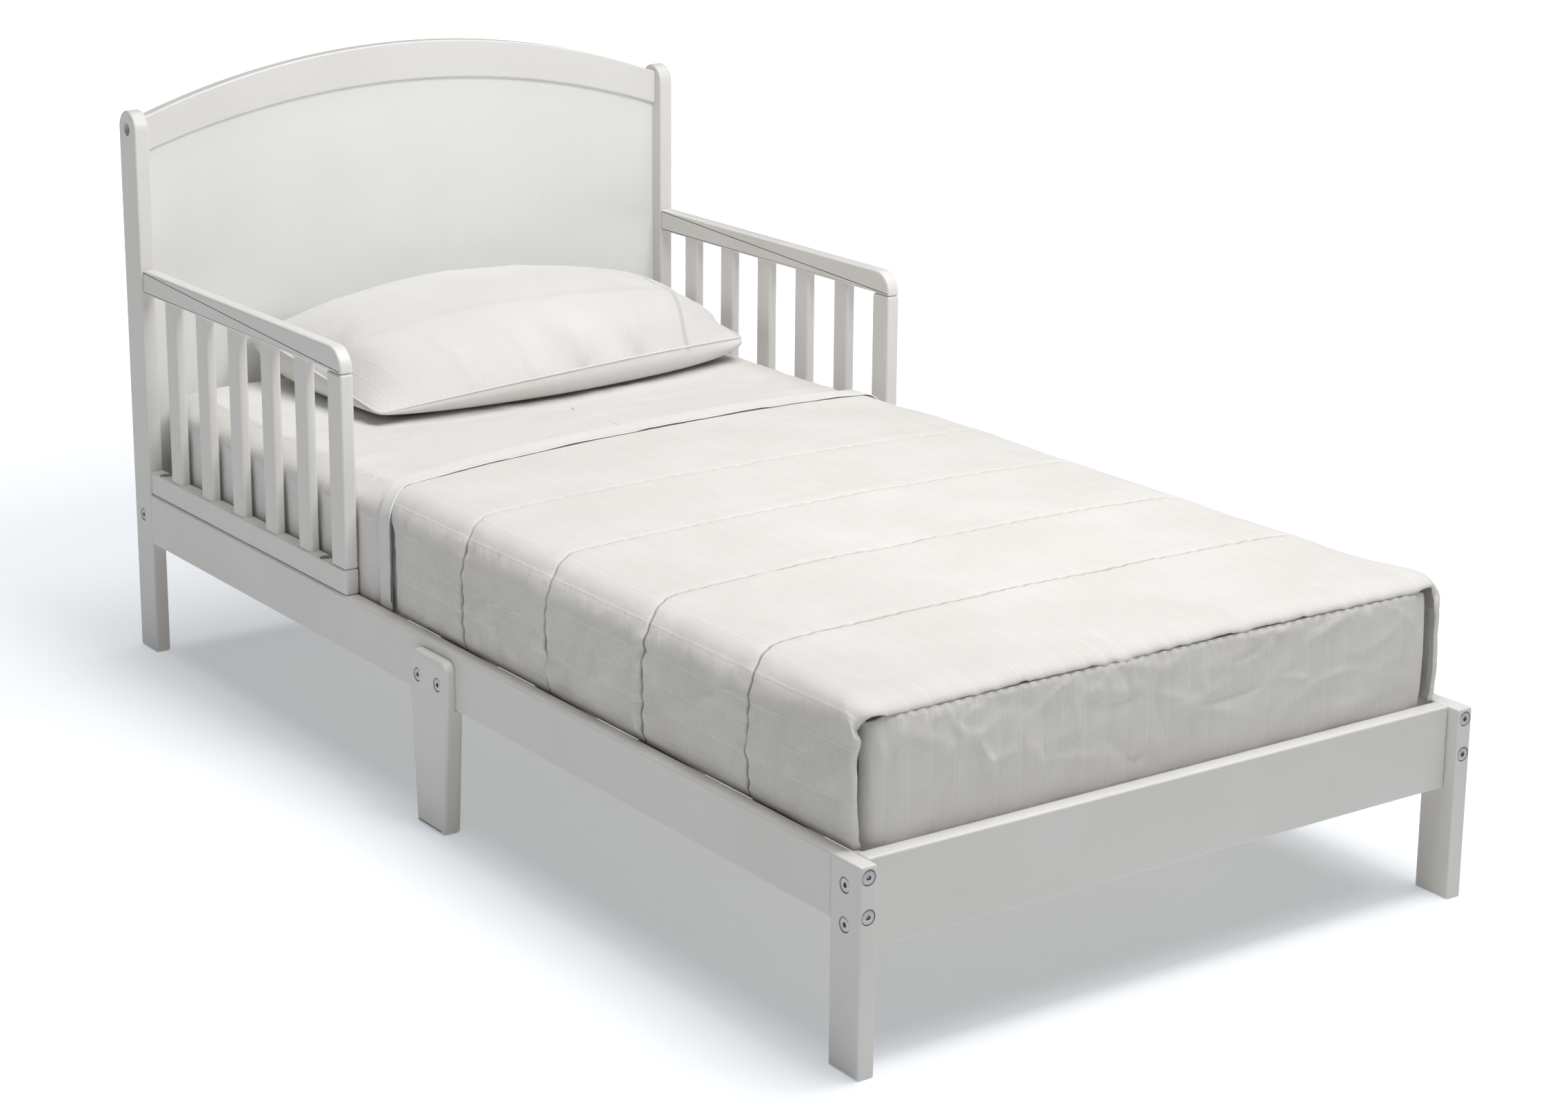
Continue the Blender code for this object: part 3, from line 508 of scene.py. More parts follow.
def head_bore(node):
    """Drill for the counterbore round a bolt's head, from outside the board to under the head."""
    way, _ = bolt_direction(node)
    rows = [(HEAD + BORE_ROOM, -0.02, False), (HEAD + BORE_ROOM, 0.0032, False)]
    return turned("drill", rows, head_top(node), way)


BOLTS = [node for node in NODES if "bolt" in node]
for bolt_node in BOLTS:
    way, axis = bolt_direction(bolt_node)
    bolt = turned_bolt(f"{bolt_node}_turned", head_top(bolt_node), way, 2 * middle(bolt_node)[1][axis])
    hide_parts(bolt_node)
print(len(BOLTS), "bolts turned")

# %% [markdown]
# One more bolt on each side goes through the back of a headboard post into the end of the side
# rail. It has no part of its own in the plain model, so its place comes from the post's box and
# from the height of the rail's other holes.

# %% Bolts at the head end of the side rails
RAIL_BOLT_Z = 0.1515
RAIL_NUT_Y = 0.6385
for side in SIDES:
    post_low, post_high = (np.array(corner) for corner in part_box(f"headboard_post_{side}"))
    top = np.array([(post_low[0] + post_high[0]) / 2, post_high[1] - HEAD_SUNK, RAIL_BOLT_Z])
    turned_bolt(f"side_rail_bolt_{side}", top, np.array([0, -1.0, 0]), top[1] - RAIL_NUT_Y + BOLT_TIP)
print("2 rail bolts turned")

# %% [markdown]
# A barrel nut is a short steel cylinder with a screwdriver slot in its end, which lines it up
# with the bolt. Its end shows as a small dark disc on the inner faces of the rails.

# %% Barrel nuts
NUT_AXES = {"foot_front": 0, "foot_side": 1, "headboard": 1}
NUT_HALF = 0.006
nut_bores = {}


def barrel_nut(name, place, axis, family):
    """A slotted cylinder across the end of a bolt, and the drill for its hole, which opens on the hidden side."""
    across = np.zeros(3)
    across[NUT_AXES[family]] = 1.0 if family != "foot_front" else -np.sign(place[0])
    rows = [(NUT - 0.0006, -NUT_HALF, False), (NUT, -NUT_HALF + 0.0006, False),
            (NUT, NUT_HALF - 0.0006, False), (NUT - 0.0006, NUT_HALF, False)]
    nut = turned(f"{name}_barrel_nut", rows, place, across, 32)
    slot_half = np.array([0.0006, 0.0006, 0.0006])
    slot_half[3 - axis - NUT_AXES[family]] = 0.006
    slot_half[NUT_AXES[family]] = 0.0012
    low = place + across * NUT_HALF - slot_half
    high = place + across * NUT_HALF + slot_half
    corners = [(low[0], low[1]), (high[0], low[1]), (high[0], high[1]), (low[0], high[1])]
    outline, outward = rounded_outline(corners, 0.0001, 1)
    bore(nut, [board_from_outline("slot", outline, outward, low[2], high[2], 2, 0.00005)])
    nut.data.materials.clear()
    nut.data.materials.append(STEEL)
    nut.data.set_sharp_from_angle(angle=math.radians(40))
    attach(nut, "frame")
    drill_rows = [(NUT + BORE_ROOM, -NUT_HALF - 0.0004, False), (NUT + BORE_ROOM, 0.03, False)]
    return turned("drill", drill_rows, place, across, 32)


def nut_owner(bolt_node):
    """The rail that a bolt's barrel nut lies in."""
    side = "left" if "left" in bolt_node else "right"
    if bolt_node.startswith("foot_front"):
        return f"side_rail_{side}", "foot_front"
    if bolt_node.startswith("foot_side"):
        return "foot_rail", "foot_side"
    if bolt_node.startswith("headboard"):
        return ("headboard_top_rail" if bolt_node.endswith("upper") else "headboard_lower_rail"), "headboard"
    return None, None


for bolt_node in BOLTS:
    rail, family = nut_owner(bolt_node)
    if rail:
        way, axis = bolt_direction(bolt_node)
        place = head_top(bolt_node) + way * (2 * middle(bolt_node)[1][axis] - BOLT_TIP)
        nut_bores.setdefault(rail, []).append(barrel_nut(bolt_node, place, axis, family))
for side in SIDES:
    place = middle(f"side_rail_{side}")[0] * [1, 0, 0] + [0, RAIL_NUT_Y, RAIL_BOLT_Z]
    nut_bores[f"side_rail_{side}"].append(barrel_nut(f"side_rail_bolt_{side}", place, 1, "foot_front"))
print("barrel nuts in", sorted(nut_bores))

# %% [markdown]
# ## The boards of the frame
# Straight boards only need their boxes. The foot legs, the guard rails' lower rails and the
# middle legs are bored for their bolt heads after they are shaped.

# %% Straight boards
EDGE = 0.0022          # rounding of a routed edge


def bolts_of(start, side):
    """The bolts of one family on one side of the bed."""
    return [node for node in BOLTS if node.startswith(start) and side in node]


straight = {"foot_rail": EDGE, "headboard_lower_rail": EDGE}
for side in SIDES:
    straight[f"side_rail_{side}"] = EDGE
    straight[f"foot_leg_{side}"] = EDGE
    straight[f"guard_lower_rail_{side}"] = EDGE
    straight[f"guard_end_post_{side}"] = 0.003
    for number in range(1, 6):
        straight[f"guard_slat_{side}_{number}"] = 0.0038
head_bores = {}
for side in SIDES:
    head_bores[f"foot_leg_{side}"] = bolts_of("foot_front", side) + bolts_of("foot_side", side)
    head_bores[f"guard_lower_rail_{side}"] = bolts_of("guard_bolt", side)
for node, rim in straight.items():
    routed = boxed_board(f"{node}_routed", node, rim)
    drills = [head_bore(bolt_node) for bolt_node in head_bores.get(node, [])] + nut_bores.get(node, [])
    if drills:
        bore(routed, drills)
    paint_board(routed, node)
print(len(straight), "straight boards")

# %% [markdown]
# The posts of the headboard end in a half circle, the guard's top rail has a rounded free end,
# and the middle legs taper and are halved over the side rail. They differ from the boards above
# only in their outline.

# %% Shaped boards
def headboard_post(side):
    """Post whose top is a half circle, seen from the side."""
    node = f"headboard_post_{side}"
    low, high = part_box(node)
    half = (high[1] - low[1]) / 2
    corners = [(low[1], low[2]), (high[1], low[2]), (high[1], high[2]), (low[1], high[2])]
    outline, outward = rounded_outline(corners, [0.004, 0.004, half - 0.0001, half - 0.0001], 16)
    post = board_from_outline(f"{node}_routed", outline, outward, low[0], high[0], 0, 0.0026)
    drills = [head_bore(bolt_node) for bolt_node in bolts_of("headboard_bolt", side)]
    centre_x = (low[0] + high[0]) / 2
    back = [(HEAD + BORE_ROOM, -0.0035, False), (HEAD + BORE_ROOM, 0.02, False)]
    drills.append(turned("drill", back, (centre_x, high[1], RAIL_BOLT_Z), (0, 1, 0)))
    bore(post, drills)
    paint_board(post, node)


def guard_top_rail(side):
    """Rail with a quarter circle at its free end."""
    node = f"guard_top_rail_{side}"
    low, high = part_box(node)
    height = high[2] - low[2]
    corners = [(low[1], low[2]), (high[1], low[2]), (high[1], high[2]), (low[1], high[2])]
    outline, outward = rounded_outline(corners, [EDGE, EDGE, EDGE, height - EDGE - 0.0005], 10)
    rail = board_from_outline(f"{node}_routed", outline, outward, low[0], high[0], 0, 0.003)
    paint_board(rail, node)


def middle_leg(side, sign):
    """Tapered leg with a step cut out of its inner face, where it laps over the side rail."""
    node = f"mid_leg_{side}"
    low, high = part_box(node)
    rail_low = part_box(f"side_rail_{side}")[0][2]
    rail_outer = max(abs(corner[0]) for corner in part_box(f"side_rail_{side}"))
    centre = (low[1] + high[1]) / 2
    foot_half = 0.028
    top_half = (high[1] - low[1]) / 2
    corners = [(centre - foot_half, low[2]), (centre + foot_half, low[2]),
               (centre + top_half, rail_low), (centre + top_half, high[2]),
               (centre - top_half, high[2]), (centre - top_half, rail_low)]
    outline, outward = rounded_outline(corners, [0.004, 0.004, 0.06, 0.011, 0.011, 0.06], 10)
    leg = board_from_outline(f"{node}_routed", outline, outward, low[0], high[0], 0, 0.005)
    lap_low = np.array([rail_outer - 0.05, centre - 0.1, rail_low - 0.0003])
    lap_high = np.array([rail_outer + 0.0003, centre + 0.1, high[2] + 0.1])
    if sign < 0:
        lap_low[0], lap_high[0] = -lap_high[0], -lap_low[0]
    lap = [(lap_low[0], lap_low[1]), (lap_high[0], lap_low[1]), (lap_high[0], lap_high[1]), (lap_low[0], lap_high[1])]
    lap_outline, lap_outward = rounded_outline(lap, 0.0002, 1)
    step = board_from_outline("step", lap_outline, lap_outward, lap_low[2], lap_high[2], 2, 0.0001)
    bore(leg, [step] + [head_bore(bolt_node) for bolt_node in bolts_of("mid_leg_bolt", side)])
    paint_board(leg, node)


for side, sign in zip(SIDES, (-1, 1)):
    headboard_post(side)
    guard_top_rail(side)
    middle_leg(side, sign)
print("posts, guard top rails and middle legs ready")

# %% [markdown]
# The headboard's top rail is sawn to an arc on both edges and stands proud of the thin panel
# below it. Its two edges are arcs of different circles, so it is made as a rounded section that
# is carried from post to post while its top and bottom follow the two arcs.

# %% Arched rail and panel
def arc_height(x, half, top, rise):
    """Height of a shallow arc at x. Its radius is (half squared + rise squared) / (2 * rise)."""
    radius = (half ** 2 + rise ** 2) / (2 * rise)
    return top - radius + np.sqrt(radius ** 2 - x ** 2)


def arched_rail():
    """Rounded section between two arcs: each corner's centre lies one radius in from both of its edges."""
    node = "headboard_top_rail"
    low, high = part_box(node)
    x = np.linspace(low[0], high[0], 97)[:, None]
    upper = arc_height(x, high[0], high[2], 0.063)
    lower = arc_height(x, high[0], 0.666, 0.058)
    angle = np.linspace(-math.pi / 2, 3 * math.pi / 2, 4 * RIM_STEPS + 1)[None, :-1] + 0.001
    angle = np.sort(np.concatenate([angle, angle[:, ::RIM_STEPS] - 0.002], axis=1))
    reach = (high[1] - low[1]) / 2 - EDGE
    y = (low[1] + high[1]) / 2 + np.where(np.cos(angle) > 0, reach, -reach) + EDGE * np.cos(angle) + 0 * x
    z = np.where(np.sin(angle) > 0, upper - EDGE, lower + EDGE) + EDGE * np.sin(angle)
    points = np.stack([x + 0 * y, y, z], axis=-1)
    count = points.shape[1]
    wear = np.abs(np.sin(2 * angle)) + 0 * x
    caps = [np.arange(count)[::-1], np.arange(count) + (len(x) - 1) * count]
    rail = make_mesh(f"{node}_routed", points.reshape(-1, 3), grid_faces(len(x), count, wrap_columns=True), caps,
                     marks={"edge": wear})
    turn_outward(rail)
    bore(rail, nut_bores[node])
    paint_board(rail, node)


arched_rail()
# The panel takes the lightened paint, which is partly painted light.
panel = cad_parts["headboard_panel"]
for held in panel.material_slots:
    held.material = LIGHTENED_PANEL_PAINT
print("headboard ready")

# %% [markdown]
# ## The slatted base
# Two pine ledges are screwed inside the side rails, and seven pine slats lie on them. They are
# seen from below and through the gaps, so they get the same routed shape, in bare wood.

# %% Ledges and slats
base_nodes = [node for node in NODES if node.startswith(("slat_ledge", "base_slat"))]
for node in base_nodes:
    plank = boxed_board(f"{node}_planed", node, 0.0018)
    paint_board(plank, node, PINE)
print(len(base_nodes), "pine pieces")

# %% [markdown]
# The slats are held by a countersunk screw at each end, driven into the ledge.

# %% Slat screws
def countersunk_screw(name, x, y, z):
    """Flat countersunk head with a small round recess, seen from above."""
    rows = [(0.0012, 0.0010, False), (0.0014, 0.0, False), (0.0034, 0.0, False), (0.0036, 0.0003, False),
            (0.0016, 0.0026, False), (0.0015, 0.012, False)]
    screw = turned(name, rows, (x, y, z), (0, 0, -1), 24)
    screw.data.materials.append(STEEL)
    screw.data.set_sharp_from_angle(angle=math.radians(40))
    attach(screw, "frame")


slat_nodes = [node for node in NODES if node.startswith("base_slat")]
for node in slat_nodes:
    centre, half = middle(node)
    for sign in (-1, 1):
        side = "left" if sign < 0 else "right"
        countersunk_screw(f"{node}_screw_{side}", sign * (half[0] - 0.010), centre[1], centre[2] + half[2] + 0.0002)
print(2 * len(slat_nodes), "slat screws")

# %% [markdown]
# ## Soft shapes: how the bedding is built up
# All the bedding lies over the same mattress, so one formula gives the height of its slightly
# crowned top. Everything above is that height plus a small lift. Creases in cotton are long,
# thin ridges in scattered places: each is a bump that fades quickly to its sides and slowly
# along its length. Adding a few dozen of them with mixed headings gives the calm, slightly
# handled look of a made bed.

# %% Shared soft shapes
BED = middle("mattress")
BED_LOW, BED_HIGH = (np.array(corner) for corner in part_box("mattress"))
CROWN = 0.0075


def smooth_step(value, start, end):
    """0 before start, 1 after end, and a smooth S between."""
    share = np.clip((value - start) / (end - start), 0, 1)
    return share * share * (3 - 2 * share)


def crown(x, y):
    """Rise of the mattress top: highest in the middle and level near its rim."""
    across = 1 - np.clip(np.abs(x) / 0.345, 0, 1) ** 2.6
    along = 1 - np.clip(np.abs(y - BED[0][1]) / 0.70, 0, 1) ** 5
    return CROWN * across * along


def creases(a, b, seed, count, box, length, width, height, heading, spread):
    """Sum of ridges: height * exp(-(across / width)^2 - (along / length)^2), each at its own place and heading."""
    dice = np.random.default_rng(seed)
    total = np.zeros(np.broadcast(a, b).shape)
    for _ in range(count):
        place_a = dice.uniform(min(box[:2]), max(box[:2]))
        place_b = dice.uniform(box[2], box[3])
        way = heading + dice.normal(0, spread)
        size = dice.uniform(0.5, 1.0)
        tall = height * dice.uniform(0.4, 1.0) * dice.choice([-1.0, 1.0], p=[0.35, 0.65])
        along = (a - place_a) * math.cos(way) + (b - place_b) * math.sin(way)
        across = (b - place_b) * math.cos(way) - (a - place_a) * math.sin(way)
        bow = across - 0.25 * along ** 2 / (length * size) * dice.uniform(-1, 1)
        total += tall * np.exp(-(bow / (width * dice.uniform(0.6, 1.4))) ** 2 - (along / (length * size)) ** 2)
    return total


def waves(a, b, seed, size, rough=3):
    """Gentle uneven ground: a few sine waves of random heading, about size metres long, scaled to 1."""
    dice = np.random.default_rng(seed)
    total = np.zeros(np.broadcast(a, b).shape)
    for octave in range(rough):
        for _ in range(3):
            way = dice.uniform(0, math.pi)
            step = size / (1.7 ** octave)
            total += np.sin((a * math.cos(way) + b * math.sin(way)) * 2 * math.pi / step
                            + dice.uniform(0, 2 * math.pi)) / (1.7 ** octave)
    return total / 4.5


def closed_sheet(outer, inner, uv, marks=None):
    """Two matching grids of points joined round their rim: points, faces, UVs and marks of the closed cloth."""
    rows, columns = outer.shape[:2]
    count = rows * columns
    number = np.arange(count).reshape(rows, columns)
    top = grid_faces(rows, columns)
    under = top[:, ::-1] + count
    loop = np.concatenate([number[0, :], number[1:, -1], number[-1, -2::-1], number[-2:0:-1, 0]])
    after = np.roll(loop, -1)
    rim = np.stack([loop, loop + count, after + count, after], axis=1)
    points = np.concatenate([outer.reshape(-1, 3), inner.reshape(-1, 3)])
    both = {name: np.concatenate([values.ravel()] * 2) for name, values in (marks or {}).items()}
    return points, np.concatenate([top, under, rim]), np.concatenate([uv.reshape(-1, 2)] * 2), both


print("mattress top at", round(float(BED_HIGH[2]), 4), "m, crowned by", CROWN)

# %% [markdown]
# ## The mattress
# A foam block in striped ticking, 1400 x 700 x 130 mm in name and a little less when pressed
# into its cover. It is built from rings: from the middle of the top out to the edge, round the
# edge, down the side and back under to the middle. Two piped seams run round it. Only its
# underside shows, between the slats, once the sheet is on.

# %% Mattress
def ring_outline(half_x, half_y, radius, straight_x, straight_y, corner):
    """Rounded rectangle as rings: one row of points for each half size, all with the same number of points.

    Each straight side is shared out evenly and each corner is a quarter circle of the ring's own radius.
    """
    corner_turn = np.linspace(0, math.pi / 2, corner, endpoint=False)
    parts = []
    for quarter, count in enumerate((straight_y, straight_x, straight_y, straight_x)):
        share = np.linspace(0, 1, count, endpoint=False)[None, :]
        flat_x = (half_x - radius)[:, None]
        flat_y = (half_y - radius)[:, None]
        if quarter == 0:
            run = (half_x[:, None] + 0 * share, flat_y * (2 * share - 1))
            centre = (flat_x, flat_y)
        elif quarter == 1:
            run = (flat_x * (1 - 2 * share), half_y[:, None] + 0 * share)
            centre = (-flat_x, flat_y)
        elif quarter == 2:
            run = (-half_x[:, None] + 0 * share, flat_y * (1 - 2 * share))
            centre = (-flat_x, -flat_y)
        else:
            run = (flat_x * (2 * share - 1), -half_y[:, None] + 0 * share)
            centre = (flat_x, -flat_y)
        angle = quarter * math.pi / 2 + corner_turn[None, :]
        bend = (centre[0] + radius[:, None] * np.cos(angle), centre[1] + radius[:, None] * np.sin(angle))
        parts.append(np.stack(run, axis=-1))
        parts.append(np.stack(bend, axis=-1))
    return np.concatenate(parts, axis=1)


def edge_profile(top_steps, edge_radius, low_radius, height, under, side_steps=14):
    """Inset from the side and depth below the top, from the middle of the top, round both edges and under."""
    turn = np.linspace(0, math.pi / 2, 8)
    flat = np.linspace(0.345, edge_radius, top_steps, endpoint=False)
    side = np.linspace(edge_radius, height - low_radius, side_steps)[1:-1]
    inset = np.concatenate([flat, edge_radius * (1 - np.sin(turn)), 0 * side, low_radius * (1 - np.cos(turn))])
    depth = np.concatenate([0 * flat, edge_radius * (1 - np.cos(turn)), side,
                            height - low_radius * (1 - np.sin(turn))])
    below = np.linspace(low_radius, under, max(3, int(under / 0.012)))[1:]
    return np.concatenate([inset, below]), np.concatenate([depth, height + 0 * below])


def bed_rings(half_x, half_y, corner_radius, inset, straight_x, straight_y):
    """Rings of a bed-shaped solid about the mattress's middle, for each inset."""
    wide = np.maximum(half_x - inset, 0.001)
    long = np.maximum(half_y - inset, 0.001)
    radius = np.clip(corner_radius * (1 - inset / 0.36), 0.0005, wide * 0.98)
    rings = ring_outline(wide, long, radius, straight_x, straight_y, 9)
    return rings + BED[0][:2]


def foam_mattress():
    """Foam block in ticking, 4 mm inside the sheet all round."""
    inset, depth = edge_profile(16, 0.030, 0.010, BED_HIGH[2] - BED_LOW[2] - 0.004, 0.345)
    rings = bed_rings(BED[1][0] - 0.004, BED[1][1] - 0.004, 0.030, inset, 24, 60)
    belly = 0.0015 * np.sin(np.clip(depth / 0.127, 0, 1) * math.pi)[:, None] * (inset < 0.001)[:, None]
    away = rings - BED[0][:2]
    rings = rings + belly[..., None] * away / np.linalg.norm(away, axis=-1, keepdims=True)
    z = BED_HIGH[2] - 0.003 - depth[:, None] + crown(rings[..., 0], rings[..., 1]) * (depth < 0.06)[:, None]
    piping = np.exp(-((depth - 0.028) / 0.002) ** 2) + np.exp(-((depth - 0.099) / 0.002) ** 2)
    rings = rings + (0.0014 * piping)[:, None, None] * away / np.linalg.norm(away, axis=-1, keepdims=True)
    points = np.concatenate([rings, z[..., None]], axis=-1)
    count = points.shape[1]
    quads = grid_faces(len(inset), count, wrap_columns=True)
    caps = [np.arange(count)[::-1], np.arange(count) + (len(inset) - 1) * count]
    uv = np.stack([rings[..., 0] + depth[:, None] * (np.abs(away[..., 0]) > 0.34), rings[..., 1]], axis=-1)
    # Painted shade: the 'seam' mark darkens the ticking a little along the two piped seams, beside the cords.
    piece = make_mesh("mattress_in_ticking", points.reshape(-1, 3), quads, caps, uv.reshape(-1, 2),
                      {"seam": np.repeat(0.3 * piping, count)})
    turn_outward(piece)
    piece.data.materials.append(TICKING)
    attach(piece, "mattress")
    return piece


mattress_piece = foam_mattress()
print("mattress:", len(mattress_piece.data.polygons), "faces")

# %% [markdown]
# ## The fitted sheet
# A fitted sheet is a cotton box with no bottom: elastic in its hem gathers it under the
# mattress. It is stretched, so its top is smooth with a few shallow creases that run across the
# bed, and its sides have soft upright folds that start at the elastic. The same rings as the
# mattress's, 1.5 mm further out, give its shape, and the creases and gathers are added along the
# surface's own outward direction.

# %% Fitted sheet
def fitted_sheet():
    """Rings from the middle of the top to 45 mm under the mattress, with creases, folds and elastic gathers."""
    height = BED_HIGH[2] - BED_LOW[2] - 0.0008
    inset, depth = edge_profile(46, 0.030, 0.008, height, 0.075, 18)
    keep = inset <= 0.345
    inset, depth = inset[keep], depth[keep]
    rings = bed_rings(BED[1][0] - 0.001, BED[1][1] - 0.001, 0.032, inset, 110, 230)
    away = rings - BED[0][:2]
    count = rings.shape[1]
    x, y = rings[..., 0], rings[..., 1]
    on_top = smooth_step(-depth, -0.012, 0.0)[:, None]
    on_side = (1 - smooth_step(-depth, -0.020, -0.004))[:, None]
    under = smooth_step(inset, 0.030, 0.060)[:, None] * (depth > 0.1)[:, None]
    step = np.linalg.norm(np.diff(rings, axis=1, append=rings[:, :1]), axis=-1)
    round_way = np.cumsum(step, axis=1)
    top_relief = creases(x, y, 11, 46, (-0.33, 0.33, 0.17, 0.46), 0.11, 0.008, 0.0016, 0.05, 0.25)
    top_relief += creases(x, y, 12, 30, (-0.33, 0.33, 0.20, 0.70), 0.07, 0.006, 0.0012, 1.4, 0.6)
    top_relief += 0.0008 * waves(x, y, 13, 0.16)
    folds = 0.0011 * waves(round_way, 0.25 * depth[:, None] + 0 * round_way, 14, 0.055)
    folds += creases(round_way, depth[:, None] + 0 * round_way, 15, 90, (0, 4.1, 0.03, 0.12), 0.05, 0.006, 0.0016,
                     math.pi / 2, 0.25)
    gathers = 0.0024 * np.sin(round_way * 2 * math.pi / 0.014) * under
    lift = top_relief * on_top + np.clip(folds, -0.0012, 0.0022) * on_side * (1 - under)
    outward = away / np.linalg.norm(away, axis=-1, keepdims=True)
    rings = rings + outward * (lift * on_side)[..., None]
    bulge = 0.0064 * smooth_step(y, 0.150, 0.172) * (1 - smooth_step(y, 0.60, 0.68)) * on_side
    rings[..., 0] += np.sign(x) * bulge * smooth_step(np.abs(x), 0.30, 0.34)
    z = BED_HIGH[2] + 0.0004 - depth[:, None] + crown(x, y) * (depth < 0.06)[:, None]
    z = z + lift * on_top + gathers * 0.5 + under * 0.0002
    outer = np.concatenate([rings, z[..., None]], axis=-1)
    inner = outer - np.concatenate([outward * on_side[..., None] * 0.0011, on_top[..., None] * 0.0011
                                    - under[..., None] * 0.0011 + 0 * z[..., None]], axis=-1)
    rows = len(inset)
    total = rows * count
    top = grid_faces(rows, count, wrap_columns=True)
    number = np.arange(count)
    after = np.roll(number, -1)
    last = (rows - 1) * count
    hem = np.stack([last + number, last + number + total, last + after + total, last + after], axis=1)
    quads = np.concatenate([top, top[:, ::-1] + total, hem])
    caps = [number[::-1], number + total]
    path = np.cumsum(np.hypot(np.diff(inset, prepend=inset[0]), np.diff(depth, prepend=0)))
    uv = np.stack([x + 0 * z, y + np.where(depth > 0.002, path, 0)[:, None]], axis=-1)
    uv = np.concatenate([uv.reshape(-1, 2)] * 2)
    points = np.concatenate([outer.reshape(-1, 3), inner.reshape(-1, 3)])
    rumple = np.tile((0.15 + 0.35 * on_side + 0 * z).ravel(), 2)
    piece = make_mesh("fitted_sheet", points, quads, caps, uv, {"rumple": rumple})
    turn_outward(piece)
    piece.data.materials.append(SHEET_CLOTH)
    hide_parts("mattress")
    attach(piece, "mattress")
    return piece


sheet_piece = fitted_sheet()
print("fitted sheet:", len(sheet_piece.data.polygons), "faces")

# %% [markdown]
# ## The coverlet
# The coverlet is a light quilt: two layers of striped cotton with a thin filling, sewn across
# in panels. It lies over the foot half of the bed, and its sides are tucked straight down inside
# the rails. Its section across the bed is a path measured along the cloth: level over the top,
# a quarter circle over each shoulder and straight down the sides. The foot end turns over by a
# larger circle on top than on the sides, where the cloth's hem forms a rolled corner fold.

# %% Coverlet section and relief
COVER_LOW, COVER_HIGH = (np.array(corner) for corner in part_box("coverlet"))
COVER_HALF = COVER_HIGH[0] - 0.0008
SHOULDER = 0.036
FLAT = COVER_HALF - SHOULDER
SHEET_TOP = BED_HIGH[2] + 0.0004
COVER_BOTTOM = COVER_LOW[2] + 0.002
STRIPE = 0.025
SEAMS = (-0.008, -0.172, -0.345, -0.517)


def section(s, y, lift):
    """Point and outward direction at distance s from the middle, measured across the cloth at height lift."""
    s, y = np.broadcast_arrays(s, y)
    half = COVER_HALF - 0.0055 + lift
    turn = np.clip((np.abs(s) - FLAT) / SHOULDER, 0, math.pi / 2)
    drop = np.maximum(np.abs(s) - FLAT - SHOULDER * math.pi / 2, 0)
    round_by = half - FLAT
    x = np.sign(s) * (np.minimum(np.abs(s), FLAT) + round_by * np.sin(turn))
    z = SHEET_TOP + lift + crown(x, y) - round_by * (1 - np.cos(turn)) - drop
    outward = np.stack([np.sign(s) * np.sin(turn), 0 * s, np.cos(turn)], axis=-1)
    return np.stack([x, y, z], axis=-1), outward


def seam_bend(s):
    """How far a cross seam strays towards the foot where the cloth goes over a shoulder and down."""
    over = smooth_step(np.abs(s), FLAT - 0.02, FLAT + 0.05)
    return -0.022 * over


def cloth_relief(s, y, row):
    """Stripe ribs, seam grooves with puckers, pulls and soft ground of the quilted cloth, in metres, and a 0 to 1
    mark of painted shade along each seam groove.
    """
    ribs = 0.0007 * np.sqrt(np.abs(np.sin(s * math.pi / STRIPE)) + 0.02)
    total = ribs + 0.0010 * waves(s, y, 21, 0.22)
    side = smooth_step(np.abs(s), FLAT, FLAT + 0.04)
    seam = np.zeros(total.shape)
    for number, seam_y in enumerate(SEAMS):
        away = row - seam_y + 0 * y
        groove = np.exp(-(away / 0.0016) ** 2)
        puff = np.exp(-(np.abs(away) - 0.012) ** 2 / 0.009 ** 2)
        pucker = np.sin(s * 2 * math.pi / 0.017 + 3 * waves(s, 0 * s, 30 + number, 0.2))
        fade = np.exp(-np.abs(away) / 0.013)
        total += 0.0009 * puff - 0.0020 * groove + (0.0003 + 0.0005 * side) * pucker * fade
        # Painted shade in each seam groove, a little darker for seams nearer the foot and darker again on the sides
        # of the bed.
        seam += (0.62 + 0.08 * number + 0.20 * side) * np.exp(-(away / 0.0012) ** 2)
    for sign, seed in ((-1, 41), (1, 42)):
        here = np.where(np.sign(s) == sign, side, 0)
        pulls = creases(s, y, seed, 70, (sign * 0.44, sign * 0.36, -0.69, 0.10),
                        0.035, 0.006, 0.0030, 0.35 * sign, 0.5)
        upright = creases(s, y, seed + 10, 60, (sign * 0.46, sign * 0.38, -0.69, 0.12),
                          0.045, 0.007, 0.0030, 0.0, 0.2)
        total += here * (pulls + upright)
    total += (1 - side) * creases(s, y, 51, 60, (-0.33, 0.33, -0.69, 0.15), 0.09, 0.010, 0.0009, 0.0, 0.9)
    near_foot = smooth_step(-y, 0.60, 0.68) * (1 - side)
    total += near_foot * creases(s, y, 52, 26, (-0.32, 0.32, -0.69, -0.66), 0.030, 0.005, 0.0022, math.pi / 2, 0.5)
    return total, np.clip(seam, 0, 1)


print("coverlet half width", round(float(COVER_HALF), 4), "m, seams at", SEAMS)

# %% [markdown]
# The coverlet's grid is fine near each seam and coarser between, so the grooves are crisp
# without spending faces on plain cloth. Its inner side follows 4 mm below, which closes the
# cloth into one thin solid.

# %% Coverlet top and sides
def seam_rows(start, end, places, coarse, fine, reach):
    """Positions from start to end: coarse steps, and fine ones within reach of each place."""
    rows = [np.arange(start, end, coarse), [end]]
    for place in places:
        rows.append(np.arange(place - reach, place + reach, fine))
    rows = np.unique(np.round(np.concatenate(rows), 5))
    rows = rows[(rows >= start) & (rows <= end)]
    keep = np.concatenate([[True], np.diff(rows) > fine * 0.6])
    return rows[keep]


